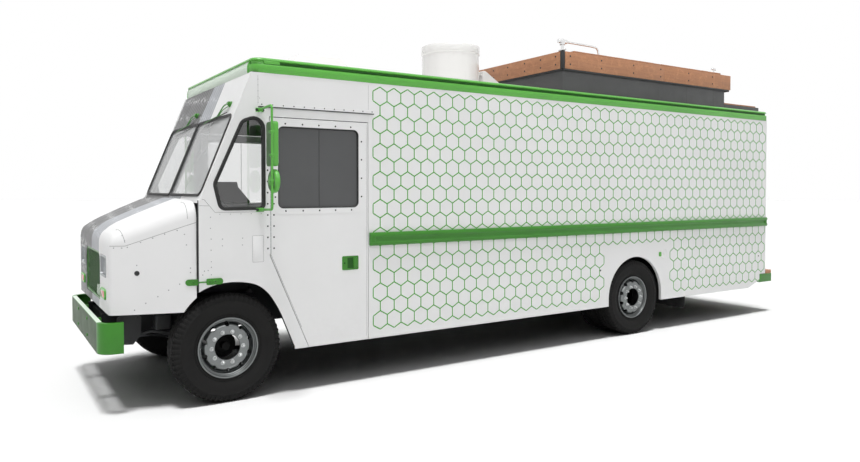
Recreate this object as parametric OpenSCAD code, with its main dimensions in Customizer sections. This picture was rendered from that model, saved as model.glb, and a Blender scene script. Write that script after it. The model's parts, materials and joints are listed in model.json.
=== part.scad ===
// Step-van food truck with a roof deck, an assembly of separate panels, doors and running gear.
// Millimetres. +X forward, +Y to the driver's side, +Z up. Origin on the ground at the middle of the vehicle.

/* [Body] */
// Distance between the front and rear axles
wheelbase = 5280; // [5100:10:5500]
// Width over the side walls
body_w = 2320; // [2280:5:2360]
// Ground to the top of the roof skin
roof_z = 3080; // [3060:5:3150]
// Thickness of side walls, doors and rear wall
wall_t = 40; // [30:1:45]
// Ground to the bottom edge of the side walls
skirt_z = 406; // [390:2:430]
// Distance from the front axle back to the rear wall
tail = 8260; // [8200:10:8300]
// Ground to the top of the floor
floor_z = 880; // [870:2:890]

/* [Wheels] */
// Outside diameter of every tyre
tyre_d = 964; // [940:2:980]
// Width of one tyre
tyre_w = 265; // [240:1:270]
// Distance between the middles of the two front tyres
front_track = 1994; // [1980:2:2000]
// Middle of the outer rear tyre from the centre line
rear_outer_y = 1017.5; // [1010:0.5:1020]
// Distance between the middles of twin tyres
twin_gap = 300; // [290:1:310]
// Diameter of the bead seat of the rims
rim_d = 496; // [490:1:500]
// Lug bolt circle of the wheels
lug_pcd = 280; // [270:1:286]

/* [Front] */
// Front face of the hood ahead of the front axle
hood_front = 940; // [930:1:945]
// Half width of the hood at its front face
hood_half = 917; // [900:1:930]
// Front face of the bumper ahead of the front axle
bumper_x = 1028; // [1022:1:1034]
// Rake of the windshield from upright
rake = 21.9; // [20:0.1:23]
// Distance of each king pin from the centre line
kingpin_y = 800; // [790:1:805]

/* [Serving side] */
// Front edge of the serving opening behind the front axle
hatch_front = 2400; // [2300:10:2500]
// Length of the serving opening
hatch_len = 2500; // [2000:10:2600]
// Bottom of the serving opening
hatch_z0 = 1500; // [1480:5:1550]
// Top of the serving opening
hatch_z1 = 2580; // [2450:5:2620]

/* [Roof deck] */
// Top of the deck boards
deck_z = 3580; // [3540:5:3600]
// Front face of the deck skirt behind the front axle
deck_front = 4087; // [4060:1:4120]
// Rear face of the deck skirt behind the front axle
deck_rear = 7493; // [7460:1:7500]
// Half width of the deck skirt
deck_half = 1050; // [1040:1:1060]

/* [Hidden] */
$fn = 64;
gx = 3711;              // front axle ahead of the origin
hw = body_w / 2;        // half width over the walls
hi = hw - wall_t;       // half width inside the walls
rt = tyre_d / 2;
ft = front_track / 2;
rr = rim_d / 2;
cap_z0 = 2930;          // underside of the roof rail
gap = 6;                // gap around doors and lids
door_x0 = -371;         // hinge line of the cab doors
door_x1 = -1368;        // rear edge of the cab doors
door_z1 = 2535;         // top edge of the cab doors
rake_x = 242;           // windshield plane at rake_z
rake_z = 1825;
function plane_x(z) = rake_x - (z - rake_z) * tan(rake);

// everything below is set out from the front axle
module fa() translate([gx, 0, 0]) children();
// mirror image about the centre line, with the original kept
module both() { children(); mirror([0, 1, 0]) children(); }
// a plate standing along X: outline in X and Z, between two Y values
module plate_xz(y0, y1) translate([0, y1, 0]) rotate([90, 0, 0]) linear_extrude(y1 - y0) children();
// a plate standing along Y: outline in Y and Z, between two X values
module plate_yz(x0, x1) translate([x0, 0, 0]) rotate([90, 0, 90]) linear_extrude(x1 - x0) children();
// box from two corners
module bx(a, b) translate(a) cube(b - a);

// outline with every corner rounded: pts is a list of [x, y, radius]
function unit(v) = v / norm(v);
function corner(p, q, r, rad, n) =
    rad <= 0.01 ? [q] :
    let (u = unit(p - q), v = unit(r - q), h = acos(u * v) / 2, d = rad / tan(h),
         c = q + unit(u + v) * rad / sin(h), s = q + u * d, e = q + v * d,
         a0 = atan2(s[1] - c[1], s[0] - c[0]), a1r = atan2(e[1] - c[1], e[0] - c[0]),
         a1 = a1r - a0 > 180 ? a1r - 360 : a1r - a0 < -180 ? a1r + 360 : a1r)
    [for (i = [0:n]) c + rad * [cos(a0 + (a1 - a0) * i / n), sin(a0 + (a1 - a0) * i / n)]];
function rpts(pts, n = 6) = [for (i = [0:len(pts) - 1])
    let (p = pts[(i + len(pts) - 1) % len(pts)], q = pts[i], r = pts[(i + 1) % len(pts)])
    each corner([p[0], p[1]], [q[0], q[1]], [r[0], r[1]], q[2], n)];
module rpoly(pts, n = 6) polygon(rpts(pts, n));
function rrect(x0, z0, x1, z1, r) = [[x0, z0, r], [x1, z0, r], [x1, z1, r], [x0, z1, r]];

// skin through a list of rings with the same number of points, closed at both ends
module loft(rings) {
    n = len(rings[0]); m = len(rings);
    polyhedron(points = [for (r = rings) each r],
        faces = concat([[for (i = [0:n - 1]) i]],
            [for (k = [0:m - 2]) for (i = [0:n - 1]) let (j = (i + 1) % n)
                each [[k * n + i, (k + 1) * n + i, (k + 1) * n + j], [k * n + i, (k + 1) * n + j, k * n + j]]],
            [[for (i = [0:n - 1]) (m - 1) * n + n - 1 - i]]), convexity = 6);
}

// ---------------------------------------------------------------- running gear
frame_y = 432; frame_z0 = 560; frame_z1 = 770; frame_x0 = 930; frame_x1 = -8180;
module rail() difference() {
    bx([frame_x1, frame_y - 75, frame_z0], [frame_x0, frame_y, frame_z1]);
    bx([frame_x1 - 1, frame_y - 76, frame_z0 + 8], [frame_x0 + 1, frame_y - 8, frame_z1 - 8]);
}
module frame_rails() color([0.09, 0.09, 0.1]) fa() both() rail();
module frame_crossmembers() color([0.09, 0.09, 0.1]) fa() {
    // cross members between the webs
    for (x = [860, -900, -2100, -3500, -4500, -6100, -7300, -8140])
        bx([x - 35, -frame_y + 8, frame_z0 + 64], [x + 35, frame_y - 8, frame_z1 - 30]);
    // floor bearers on top of the rails
    for (x = [-1100, -2300, -3400, -4400, -6200, -7200, -8100])
        bx([x - 30, -frame_y - 60, frame_z1], [x + 30, frame_y + 60, floor_z - 50]);
}
module frame_outriggers() color([0.09, 0.09, 0.1]) fa() both() {
    // outriggers that carry the floor and the skirts
    for (x = [-1500, -2700, -3900, -6300, -7500])
        bx([x - 25, frame_y, frame_z0 + 90], [x + 25, hi - 4, frame_z1]);
    // hangers of the rear springs
    for (x = [-wheelbase - 650, -wheelbase + 650])
        bx([x - 40, frame_y, rt + 78 + 19.8 + 92], [x + 40, frame_y + 108, frame_z1 - 20]);
}
module engine_block() color([0.25, 0.25, 0.27]) fa() {
    bx([-330, -290, 500], [600, 290, 1240]);
    bx([-700, -140, 480], [-330, 140, 740]);
}
beam_z = 400;
module front_axle() color([0.1, 0.1, 0.11]) fa() difference() {
    union() {
        bx([-45, -640, beam_z - 45], [45, 640, beam_z + 45]);
        both() plate_beam();
        both() translate([0, kingpin_y, 437]) cylinder(r = 40, h = 90);
        // spring pads
        both() bx([-70, 355, beam_z + 45], [70, 435, beam_z + 60]);
    }
    // flanges of the I section
    for (s = [-1, 1]) bx([s > 0 ? 12 : -46, -600, beam_z - 30], [s > 0 ? 46 : -12, 600, beam_z + 30]);
    both() translate([0, kingpin_y, 400]) cylinder(r = 20.3, h = 200);
}
// end of the beam rising to the king pin eye
module plate_beam() translate([-38, 0, 0]) rotate([90, 0, 90]) linear_extrude(76)
    polygon([[600, beam_z - 45], [640, beam_z - 45], [kingpin_y - 55, 437], [kingpin_y, 437], [kingpin_y, 527], [kingpin_y - 45, 527], [600, beam_z + 45]]);
module knuckle() translate([0, kingpin_y, 0]) {
    difference() {
        union() {
            translate([0, 0, 534]) cylinder(r = 40, h = 36);
            translate([0, 0, 394]) cylinder(r = 40, h = 36);
            bx([-38, 0, 534], [38, 75, 570]);
            bx([-38, 0, 394], [38, 75, 430]);
            bx([-50, 48, 394], [50, 78, 570]);
            // steering arm
            bx([-180, -20, 394], [0, 20, 420]);
            translate([-180, 0, 394]) cylinder(r = 26, h = 26);
        }
        translate([-180, 0, 390]) cylinder(r = 12.3, h = 40);
    }
    translate([0, 0, 388]) cylinder(r = 20, h = 188);
    // stub axle
    translate([0, 78, rt]) rotate([-90, 0, 0]) cylinder(r = 34, h = 150);
}
module knuckle_left() color([0.14, 0.14, 0.15]) fa() knuckle();
module knuckle_right() color([0.14, 0.14, 0.15]) fa() mirror([0, 1, 0]) knuckle();
module tie_rod() color([0.16, 0.16, 0.17]) fa() {
    both() translate([-180, kingpin_y, 358]) { cylinder(r = 24, h = 34); cylinder(r = 12, h = 62); }
    translate([-180, kingpin_y, 372]) rotate([90, 0, 0]) cylinder(r = 15, h = 2 * kingpin_y);
}
rear_disc_y = rear_outer_y - twin_gap / 2;
module rear_axle() color([0.1, 0.1, 0.11]) fa() translate([-wheelbase, 0, rt]) {
    rotate([90, 0, 0]) translate([0, 0, -700]) cylinder(r = 68, h = 1400);
    // differential housing
    translate([60, 0, 0]) rotate([90, 0, 90]) translate([0, 0, -230]) cylinder(r = 190, h = 250);
    rotate([90, 0, 90]) cylinder(r = 60, h = 330);
    // hub spindles
    both() translate([0, 700, 0]) rotate([-90, 0, 0]) cylinder(r = 50, h = 275);
    // spring pads on top of the tube
    both() bx([-70, 462, 60], [70, 538, 78]);
}
shaft_z = 560;
module driveshaft() color([0.2, 0.2, 0.21]) fa() {
    // runs down from the gearbox to the differential
    a = [-800, 0, shaft_z]; b = [-wheelbase + 340, 0, rt];
    translate([-830, 0, shaft_z]) rotate([90, 0, 90]) cylinder(r = 58, h = 130);
    d = b - a;
    translate(a) rotate([0, 90 - atan2(d[2], d[0]), 0]) cylinder(r = 44, h = norm(d) - 1);
}
// one spring: a shallow arc between two ends, thickest in the middle where the leaves pile up
function spring_pts(l, sag, t, u1, n = 10) = concat(
    [for (i = [0:n]) let (u = -1 + 2 * i / n) [u * l / 2, sag * u * u + t]],
    [for (i = [n:-1:0]) let (u = -1 + 2 * i / n) [u * l / 2, sag * u * u - u1 * (1 - abs(u))]]);
module spring(l, sag, t, u1, y0, y1, z0) translate([0, 0, z0]) plate_xz(y0, y1) polygon(spring_pts(l, sag, t, u1));
module leaf_springs() color([0.08, 0.08, 0.09]) fa() both() {
    spring(1150, 69.6, 16, 14.4, 360, 430, beam_z + 60 + 14.4);
    translate([-wheelbase, 0, 0]) spring(1300, 70, 22, 19.8, 465, 535, rt + 78 + 19.8);
}
module fuel_tank() color([0.13, 0.13, 0.14]) fa()
    plate_yz(-3300, -2250) rpoly(rrect(-1060, 410, -480, 640, 60));

// tyre cross-section about the Y axis: [radius, sideways]
function tyre_pts() = let (h = tyre_w / 2) [
    [rr, -88], [rr + 20, -90], [rr + 50, -h + 16], [rr + 95, -h + 1], [rr + 140, -h], [rt - 52, -h + 5], [rt - 20, -h + 18], [rt - 6, -h + 30], [rt, -h + 46],
    [rt, h - 46], [rt - 6, h - 30], [rt - 20, h - 18], [rt - 52, h - 5], [rr + 140, h], [rr + 95, h - 1], [rr + 50, h - 16], [rr + 20, 90], [rr, 88],
    [rr, 58], [rr + 30, 66], [rr + 110, h - 22], [rt - 50, h - 26], [rt - 32, h - 60],
    [rt - 32, -h + 60], [rt - 50, -h + 26], [rr + 110, -h + 22], [rr + 30, -66], [rr, -58]];
module tyre() rotate([90, 0, 0]) rotate_extrude($fn = 96) polygon(tyre_pts());
module tyre_front_left() color([0.08, 0.08, 0.08]) fa() translate([0, ft, rt]) tyre();
module tyre_front_right() color([0.08, 0.08, 0.08]) fa() translate([0, -ft, rt]) tyre();
module twin_tyres() translate([-wheelbase, 0, rt]) for (y = [rear_outer_y, rear_outer_y - twin_gap]) translate([0, y, 0]) tyre();
module tyres_rear_left() color([0.08, 0.08, 0.08]) fa() twin_tyres();
module tyres_rear_right() color([0.08, 0.08, 0.08]) fa() mirror([0, 1, 0]) twin_tyres();

// rim and disc about the Y axis. The outline is [radius, outboard].
module turned() rotate([-90, 0, 0]) rotate_extrude($fn = 96) children();
module rim_2d() polygon([[rr - 12, -94], [rr - 12, -60], [rr - 34, -40], [rr - 34, 30], [rr - 12, 55], [rr - 12, 94], [rr - 8, 101], [rr + 14, 101], [rr + 18, 97], [rr + 18, 92], [rr, 90],
    [rr, 52], [rr - 24, 34], [rr - 24, -44], [rr, -66], [rr, -90], [rr + 18, -92], [rr + 18, -97], [rr + 14, -101], [rr - 8, -101]]);
module holes(n, pr, r, y0, y1) for (i = [0:n - 1]) rotate([0, 360 / n * (i + 0.5), 0]) translate([pr, y0, 0]) rotate([-90, 0, 0]) cylinder(r = r, h = y1 - y0, $fn = 32);
module front_wheel() difference() {
    turned() {
        rim_2d();
        // disc bulging outboard, with a flat lug face
        polygon([[100, 62], [165, 62], [195, 46], [rr - 32, 16], [rr - 32, 0], [192, 32], [163, 46], [100, 46]]);
        // hub and brake drum around the stub axle
        polygon([[34.3, -105], [120, -105], [120, 62], [72, 62], [60, 84], [34.3, 84]]);
    }
    holes(10, 190, 21, -20, 90);
    for (i = [0:9]) rotate([0, 36 * i, 0]) translate([lug_pcd / 2, 20, 0]) rotate([-90, 0, 0]) cylinder(r = 11, h = 60, $fn = 32);
}
module wheel_front_left() color([0.6, 0.61, 0.62]) fa() translate([0, ft, rt]) front_wheel();
module wheel_front_right() color([0.6, 0.61, 0.62]) fa() mirror([0, 1, 0]) translate([0, ft, rt]) front_wheel();
// deep disc that reaches the middle of the twin pair; d = distance from the rim middle to the disc face
module dish_2d(d) polygon([[100, -d - 1], [168, -d - 1], [196, -d + 14], [rr - 32, -38], [rr - 32, -20], [206, -20], [184, -d + 22], [165, -d + 13], [100, -d + 13]]);
module twin_wheels() translate([-wheelbase, rear_disc_y, rt]) difference() {
    turned() {
        translate([0, twin_gap / 2]) { rim_2d(); dish_2d(twin_gap / 2); }
        mirror([0, 1]) translate([0, twin_gap / 2]) { rim_2d(); dish_2d(twin_gap / 2); }
        // hub
        polygon([[50.3, -150], [112, -150], [112, 30], [80, 60], [80, 118], [50.3, 118]]);
    }
    for (i = [0:9]) rotate([0, 36 * i, 0]) translate([lug_pcd / 2, -30, 0]) rotate([-90, 0, 0]) cylinder(r = 11, h = 60, $fn = 32);
}
module wheels_rear_left() color([0.6, 0.61, 0.62]) fa() twin_wheels();
module wheels_rear_right() color([0.6, 0.61, 0.62]) fa() mirror([0, 1, 0]) twin_wheels();

// ---------------------------------------------------------------- bumpers
bump_z0 = 518; bump_z1 = 776;
function bump_arc(r, y0, x0, n = 8) = [for (i = [0:n]) [x0 - r + r * cos(90 * i / n), y0 + r * sin(90 * i / n)]];
// plan outline of one half, swept as a channel
module bump_plan(t0, t1) {
    // half outlines in X and Y
    polygon(concat([[bumper_x - t0, -860]], [for (p = bump_arc(130 - t0, 860, bumper_x - t0)) p], [[bumper_x - 130 - 60, 990 - t0]],
        [[bumper_x - 130 - 60, 990 - t1]], [for (i = [8:-1:0]) bump_arc(130 - t1, 860, bumper_x - t1)[i]], [[bumper_x - t1, -860]]));
}
module bump_half_pair(t0, t1) { bump_plan(t0, t1); mirror([0, 1]) bump_plan(t0, t1); }
module front_bumper() color([0.31, 0.66, 0.24]) fa() {
    translate([0, 0, bump_z0]) linear_extrude(bump_z1 - bump_z0) bump_half_pair(0, 10);
    translate([0, 0, bump_z1 - 10]) linear_extrude(10) bump_half_pair(9, 80);
    translate([0, 0, bump_z0]) linear_extrude(10) bump_half_pair(9, 80);
    // brackets to the frame rails
    both() bx([frame_x0, frame_y - 40, 590], [bumper_x - 9, frame_y, 740]);
}
module rear_bumper() color([0.31, 0.66, 0.24]) fa() {
    // channel across the back, with a step board on it
    difference() {
        plate_yz(-tail - 190, -tail + 150) rpoly([[-hw, 470, 30], [hw, 470, 30], [hw, 590, 12], [-hw, 590, 12]]);
        bx([-tail - 180, -hw + 10, 480], [-tail + 151, hw - 10, 580]);
        // notches where the frame rails end
        both() bx([frame_x1 - 1, frame_y - 76, 575], [-tail + 151, frame_y + 1, 600]);
        // holes for a number plate, two in a line
        for (y = [-88.9, 88.9]) translate([-tail - 195, y, 530]) rotate([0, 90, 0]) cylinder(r = 3.5, h = 30);
    }
    bx([-tail - 170, -1100, 590], [-tail - 25, 1100, 645]);
    both() bx([-tail - 100, frame_y - 40, 560], [frame_x1, frame_y, 590]);
}

// ---------------------------------------------------------------- hood
// half section of the hood at a station: bottom, side, shoulder, top; inset by t
function hood_w(x) = let (u = (hood_front - x) / (hood_front - 273)) hood_half + (1128 - hood_half) * pow(u, 0.8);
function hood_t(x) = let (u = (hood_front - x) / (hood_front - 273)) 1520 + 280 * pow(u, 0.85);
function hood_ring(x, w, z, zb, r, t, n = 8) = let (a = w - t, b = z - t, rr0 = max(r - t, 8), h = [for (i = [0:n]) [a - rr0 + rr0 * cos(90 * i / n), b - rr0 + rr0 * sin(90 * i / n)]])
    concat([[x, -a, zb], [x, a, zb]], [for (p = h) [x, p[0], p[1]]], [for (i = [n:-1:0]) [x, -h[i][0], h[i][1]]]);
function rev(l) = [for (i = [len(l) - 1:-1:0]) l[i]];
function hood_rings(t, zb, x1) = [for (k = [0:7])
    let (s = [0, 10, 38, 80, 130, 300, 480, hood_front - x1][k], x = hood_front - t - (k == 7 ? s - t : s),
         // the top rolls down to the front face
         drop = [150, 98, 46, 14, 2, 0, 0, 0][k], nar = [24, 12, 3, 0, 0, 0, 0, 0][k])
    hood_ring(x, hood_w(x) - nar, hood_t(x) - drop, zb, 120, t)];
module hood() color([0.86, 0.87, 0.88]) fa() difference() {
    loft(rev(hood_rings(0, 832, 276)));
    loft(rev(hood_rings(22, 800, 200)));
    // wheel arch
    translate([-18, 0, 0]) plate_xz(-1300, 1300) polygon([for (i = [0:24]) [470 * cos(180 * i / 24), 560 + 505 * sin(180 * i / 24)]]);
    // grille opening and lamp openings
    plate_yz(800, 1000) rpoly(rrect(-440, 900, 440, 1330, 40));
    both() plate_yz(800, 1000) rpoly(rrect(476, 1130, 808, 1322, 30));
}
module grille() color([0.31, 0.66, 0.24]) fa() {
    difference() {
        plate_yz(912, 934) rpoly(rrect(-439, 901, 439, 1329, 39));
        plate_yz(900, 940) rpoly(rrect(-415, 925, 415, 1305, 30));
    }
    // bars behind the mesh
    for (z = [1010, 1115, 1220]) bx([914, -420, z - 8], [930, 420, z + 8]);
    for (y = [-210, 0, 210]) bx([914, y - 8, 920], [930, y + 8, 1310]);
    // fixing ears on the back of the hood face
    for (y = [-300, 300]) for (z = [888, 1330]) bx([900, y - 30, z - 10], [917.9, y + 30, z + 22]);
}
module headlamps() color([0.75, 0.76, 0.78]) fa() both() {
    plate_yz(880, 930) rpoly(rrect(477, 1131, 807, 1321, 29));
    plate_yz(hood_front, hood_front + 14) rpoly(rrect(520, 930, 800, 1030, 20));
}

// ---------------------------------------------------------------- cab
arch_f = [[405, 844], [330, 940], [254, 1008], [130, 1055], [0, 1070], [-130, 1060], [-246, 1027], [-335, 960], [-400, 873], [-477, 729], [-600, 430]];
// outline of the side of the cab ahead of the door
module cab_side() difference() {
    polygon(concat([[plane_x(cap_z0) , cap_z0], [plane_x(1800), 1800], [266, 1790], [266, 1001]], [for (i = [2:10]) arch_f[i]], [[-600, skirt_z], [-738, skirt_z], [door_x0 + gap, 1282], [door_x0 + gap, cap_z0]]));
    rpoly([[-302, 1725, 15], [70, 1725, 15], [118, 1930, 20], [-125, 2480, 40], [-302, 2545, 45]]);
}
// panes of the windshield: Y, and distance up the slope
ws_lo = 20; ws_hi = 770;
module cab_front() color([0.86, 0.87, 0.88]) fa() {
    difference() {
        union() {
            both() plate_xz(hi, hw) cab_side();
            // raked front panel
            intersection() {
                translate([rake_x, 0, rake_z]) rotate([0, -rake, 0]) bx([-wall_t, -hi - 10, -62], [-2, hi + 10, 1300]);
                bx([-700, -hw, 1700], [700, hw, cap_z0 - 0.5]);
            }
            // header across the cab behind the front panel
            bx([door_x0 + gap + 10, -hi - 10, cap_z0 - 40], [plane_x(cap_z0) - 20, hi + 10, cap_z0 - 1]);
        }
        translate([rake_x, 0, rake_z]) rotate([0, -rake, 0]) both() plate_yz(-wall_t - 40, 40) rpoly([[30, ws_lo, 40], [1085, ws_lo, 60], [1092, ws_hi, 90], [30, ws_hi, 40]]);
    }
    // firewall, open in the middle for the engine cover
    difference() {
        bx([196, -hi, 1000], [226, hi, 1768]);
        bx([190, -340, 990], [230, 340, 1300]);
    }
    // wheel housings
    both() difference() {
        union() {
            bx([-640, 596, 770], [226, hi - 8, 1112]);
            bx([-350, 596, 770], [226, hi + 10, 1112]);
        }
        bx([-600, 616, 760], [230, hi + 11, 1092]);
    }
    // header over each door
    both() bx([door_x1 - gap, hi, door_z1 + gap], [door_x0 + gap, hw, cap_z0]);
}
module cab_glass() color([0.55, 0.62, 0.66, 0.45]) fa() {
    translate([rake_x, 0, rake_z]) rotate([0, -rake, 0]) both() plate_yz(-24, -16) rpoly([[30, ws_lo, 40], [1085, ws_lo, 60], [1092, ws_hi, 90], [30, ws_hi, 40]]);
    both() plate_xz(hw - 24, hw - 16) rpoly([[-302, 1725, 15], [70, 1725, 15], [118, 1930, 20], [-125, 2480, 40], [-302, 2545, 45]]);
}
win = rrect(-1262, 1713, -448, 2456, 50);
module door_leaf() plate_xz(hi, hw) difference() {
    polygon([[door_x0, door_z1], [door_x0, 1282], [-742, skirt_z], [door_x1, skirt_z], [door_x1, door_z1]]);
    rpoly(win);
}
module pocket() bx([-1250, hi - 30, 1112], [-1095, hi + 1, 1234]);
module cab_door_left() color([0.86, 0.87, 0.88]) fa() door_leaf();
module cab_door_right() color([0.86, 0.87, 0.88]) fa() mirror([0, 1, 0]) door_leaf();
module door_glass() plate_xz(hw - 26, hw - 18) rpoly(win);
module door_glass_left() color([0.2, 0.22, 0.23, 0.6]) fa() door_glass();
module door_glass_right() color([0.2, 0.22, 0.23, 0.6]) fa() mirror([0, 1, 0]) door_glass();

module dashboard() color([0.2, 0.2, 0.21]) fa() {
    difference() {
        union() {
            // top of the dash from side to side
            plate_xz(-hi + 2, hi - 2) polygon([[194, 1300], [194, 1640], [20, 1600], [-60, 1500], [-40, 1330], [60, 1300]]);
            // engine cover
            bx([-420, -380, floor_z + 1], [194, 380, 1340]);
        }
        bx([-390, -345, floor_z - 10], [200, 345, 1300]);
    }
    // steering column and wheel on the driver's side
    translate([-20, 560, 1480]) rotate([0, -62, 0]) cylinder(r = 24, h = 190);
    translate([-20, 560, 1480]) rotate([0, -62, 0]) translate([0, 0, 190]) {
        rotate_extrude($fn = 64) translate([220, 0]) circle(r = 15, $fn = 20);
        cylinder(r = 60, h = 22);
        for (a = [0, 120, 240]) rotate([0, 0, a]) bx([0, -18, 0], [215, 18, 12]);
    }
}
module driver_seat() color([0.16, 0.16, 0.17]) fa() translate([-860, 560, floor_z]) {
    cylinder(r = 120, h = 30);
    translate([0, 0, 30]) cylinder(r = 60, h = 290);
    translate([-250, -240, 320]) rotate([90, 0, 90]) linear_extrude(500) rpoly(rrect(0, 0, 480, 110, 40));
    translate([-250, 240, 360]) rotate([90, 0, 0]) linear_extrude(480) rpoly([[0, 0, 20], [110, 30, 20], [20, 720, 40], [-80, 720, 40], [-60, 0, 20]]);
}
module cab_partition() color([0.7, 0.71, 0.72]) fa() difference() {
    union() {
        bx([-1420, -hi + 1, floor_z], [-1395, hi - 1, cap_z0]);
        bx([-1420, -1095, cap_z0 - 10], [-1395, 1095, roof_z - 61]);
    }
    bx([-1430, -320, floor_z - 1], [-1390, 320, 2700]);
}
// ---------------------------------------------------------------- body
module floor() color([0.3, 0.3, 0.31]) fa() {
    difference() {
        bx([-tail + wall_t + 1, -hi + 8, floor_z - 50], [-640, hi - 8, floor_z]);
        // rear wheel housings and step wells
        both() bx([-5860, 560, floor_z - 60], [-4740, hi, floor_z + 10]);
        both() bx([-1330, 780, floor_z - 60], [-760, hi, floor_z + 10]);
    }
    both() {
        // box over the rear wheels
        difference() {
            bx([-5860, 540, floor_z - 50], [-4740, hi - 1, 1060]);
            bx([-5840, 560, floor_z - 60], [-4760, hi, 1040]);
        }
        // entry step
        difference() {
            bx([-1350, 760, 430], [-740, hi - 8, floor_z]);
            bx([-1330, 780, 460], [-760, hi, floor_z + 10]);
        }
    }
    // cab floor ahead of the doors, between the wheel housings
    difference() {
        bx([-639.9, -595, floor_z - 50], [195, 595, floor_z]);
        bx([-640, -345, floor_z - 60], [196, 345, floor_z + 10]);
    }
}
ax = -5303; ar = 506;
module arch_hole() { translate([ax, 503]) circle(r = ar); translate([ax - ar, 300]) square([2 * ar, 203]); }
module wall_outline() polygon([[door_x1 - gap, skirt_z], [door_x1 - gap, cap_z0], [-tail, cap_z0], [-tail, 598], [-tail + 152, 598], [-tail + 152, 505], [-tail + 450, skirt_z]]);
module left_wall() color([0.88, 0.88, 0.89]) fa() plate_xz(hi, hw) difference() { wall_outline(); arch_hole(); }
module right_wall() color([0.88, 0.88, 0.89]) fa() plate_xz(-hw, -hi) difference() {
    wall_outline();
    arch_hole();
    translate([-hatch_front - hatch_len, hatch_z0]) square([hatch_len, hatch_z1 - hatch_z0]);
}
module serving_hatch() color([0.86, 0.86, 0.87]) fa() {
    bx([-hatch_front - hatch_len + gap, -hw, hatch_z0 + gap], [-hatch_front - gap, -hi, hatch_z1 - gap]);
}
rd = 440;   // half width of the rear door opening
module rear_wall() color([0.86, 0.87, 0.88]) fa() plate_yz(-tail, -tail + wall_t) difference() {
    polygon([[-hi, 600], [hi, 600], [hi, cap_z0], [-hi, cap_z0]]);
    translate([-rd, floor_z]) square([2 * rd, 1750]);
}
module rear_door() color([0.86, 0.87, 0.88]) fa() plate_yz(-tail, -tail + wall_t)
    translate([-rd + gap, floor_z + gap]) square([2 * rd - 2 * gap, 1750 - 2 * gap]);
module rub_rails() color([0.31, 0.66, 0.24]) fa() both()
    translate([-8255, 0, 0]) rotate([90, 0, 90]) linear_extrude(8255 - 1382) rpoly([[hw, 1327, 2], [hw + 24, 1335, 14], [hw + 34, 1393, 26], [hw + 24, 1452, 14], [hw, 1460, 2]]);
module roof() color([0.9, 0.9, 0.91]) fa() plate_yz(-tail + 61, -282)
    polygon([[-hw + 61, roof_z - 60], [hw - 61, roof_z - 60], [hw - 61, roof_z - 12], [600, roof_z], [-600, roof_z], [-hw + 61, roof_z - 12]]);
module roof_cap() color([0.31, 0.66, 0.24]) fa() difference() {
    translate([0, 0, cap_z0]) linear_extrude(140) rpoly([[-208, hw + 4, 110], [-tail - 3, hw + 4, 12], [-tail - 3, -hw - 4, 12], [-208, -hw - 4, 110]], 10);
    translate([0, 0, cap_z0 - 1]) linear_extrude(142) rpoly([[-281, hw - 60, 0], [-tail + 60, hw - 60, 0], [-tail + 60, -hw + 60, 0], [-281, -hw + 60, 0]], 8);
}
module deck_base() color([0.29, 0.29, 0.3]) fa() {
    difference() {
        bx([-deck_rear + 122, -deck_half + 20, roof_z], [-deck_front - 26, deck_half - 20, deck_z - 230]);
        bx([-deck_rear + 172, -deck_half + 70, roof_z - 1], [-deck_front - 76, deck_half - 70, deck_z]);
    }
    // low landing behind the deck
    difference() {
        bx([-8251, -deck_half + 20, roof_z], [-deck_rear + 121.9, deck_half - 20, roof_z + 60]);
        bx([-8201, -deck_half + 70, roof_z - 1], [-deck_rear + 72, deck_half - 70, roof_z + 61]);
    }
}
module deck_skirt() color([0.62, 0.45, 0.34]) fa() {
    difference() {
        bx([-deck_rear, -deck_half, deck_z - 230], [-deck_front, deck_half, deck_z - 21]);
        bx([-deck_rear + 45, -deck_half + 45, deck_z - 231], [-deck_front - 45, deck_half - 45, deck_z - 60]);
    }
    // deck boards
    bx([-deck_rear + 230, -deck_half, deck_z - 21], [-deck_front - 200, deck_half, deck_z]);
    // boards on the landing
    bx([-8195, -deck_half, roof_z + 60], [-deck_rear + 105, deck_half, roof_z + 80]);
}
module roof_fan() color([0.9, 0.9, 0.9]) fa() translate([-3171, 0, roof_z]) {
    cylinder(r = 360, h = 485);
    translate([0, 0, 485]) cylinder(r = 368, h = 100);
    translate([-300, -300, 0]) cube([600, 600, 60]);
}
module vent(x, y) translate([x, y, roof_z]) loft([for (q = [[430, 430, 0], [430, 430, 30], [250, 300, 240]]) [[-q[0], -q[1], q[2]], [q[0], -q[1], q[2]], [q[0], q[1], q[2]], [-q[0], q[1], q[2]]]]);
module roof_vents() color([0.88, 0.88, 0.88]) fa() {
    vent(-1262, 0);
    // fresh-air hood with a sloping back, ahead of the deck
    plate_xz(-170, 170) polygon([[-3560, roof_z], [-3560, roof_z + 313], [-3600, roof_z + 313], [-4085, roof_z + 20], [-4085, roof_z]]);
}
module mirror_set() {
    // brackets on the corner post
    bx([-298, hw, 1690], [-258, hw + 20, 1712]);
    bx([-298, hw, 2584], [-258, hw + 20, 2606]);
    // arm tube
    translate([-278, hw + 10, 1701]) rotate([-84, 0, 0]) cylinder(r = 10, h = 292);
    translate([-278, 1460, 1718]) cylinder(r = 11, h = 890);
    translate([-278, hw + 10, 2597]) rotate([-90, 0, 0]) cylinder(r = 10, h = 292);
    // mirror heads
    translate([-342, 1285, 2085]) cube([58, 172, 390]);
    translate([-341, 1400, 1957]) rotate([0, 90, 0]) cylinder(r = 104, h = 57);
}
module mirrors() color([0.31, 0.66, 0.24]) fa() both() mirror_set();

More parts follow.
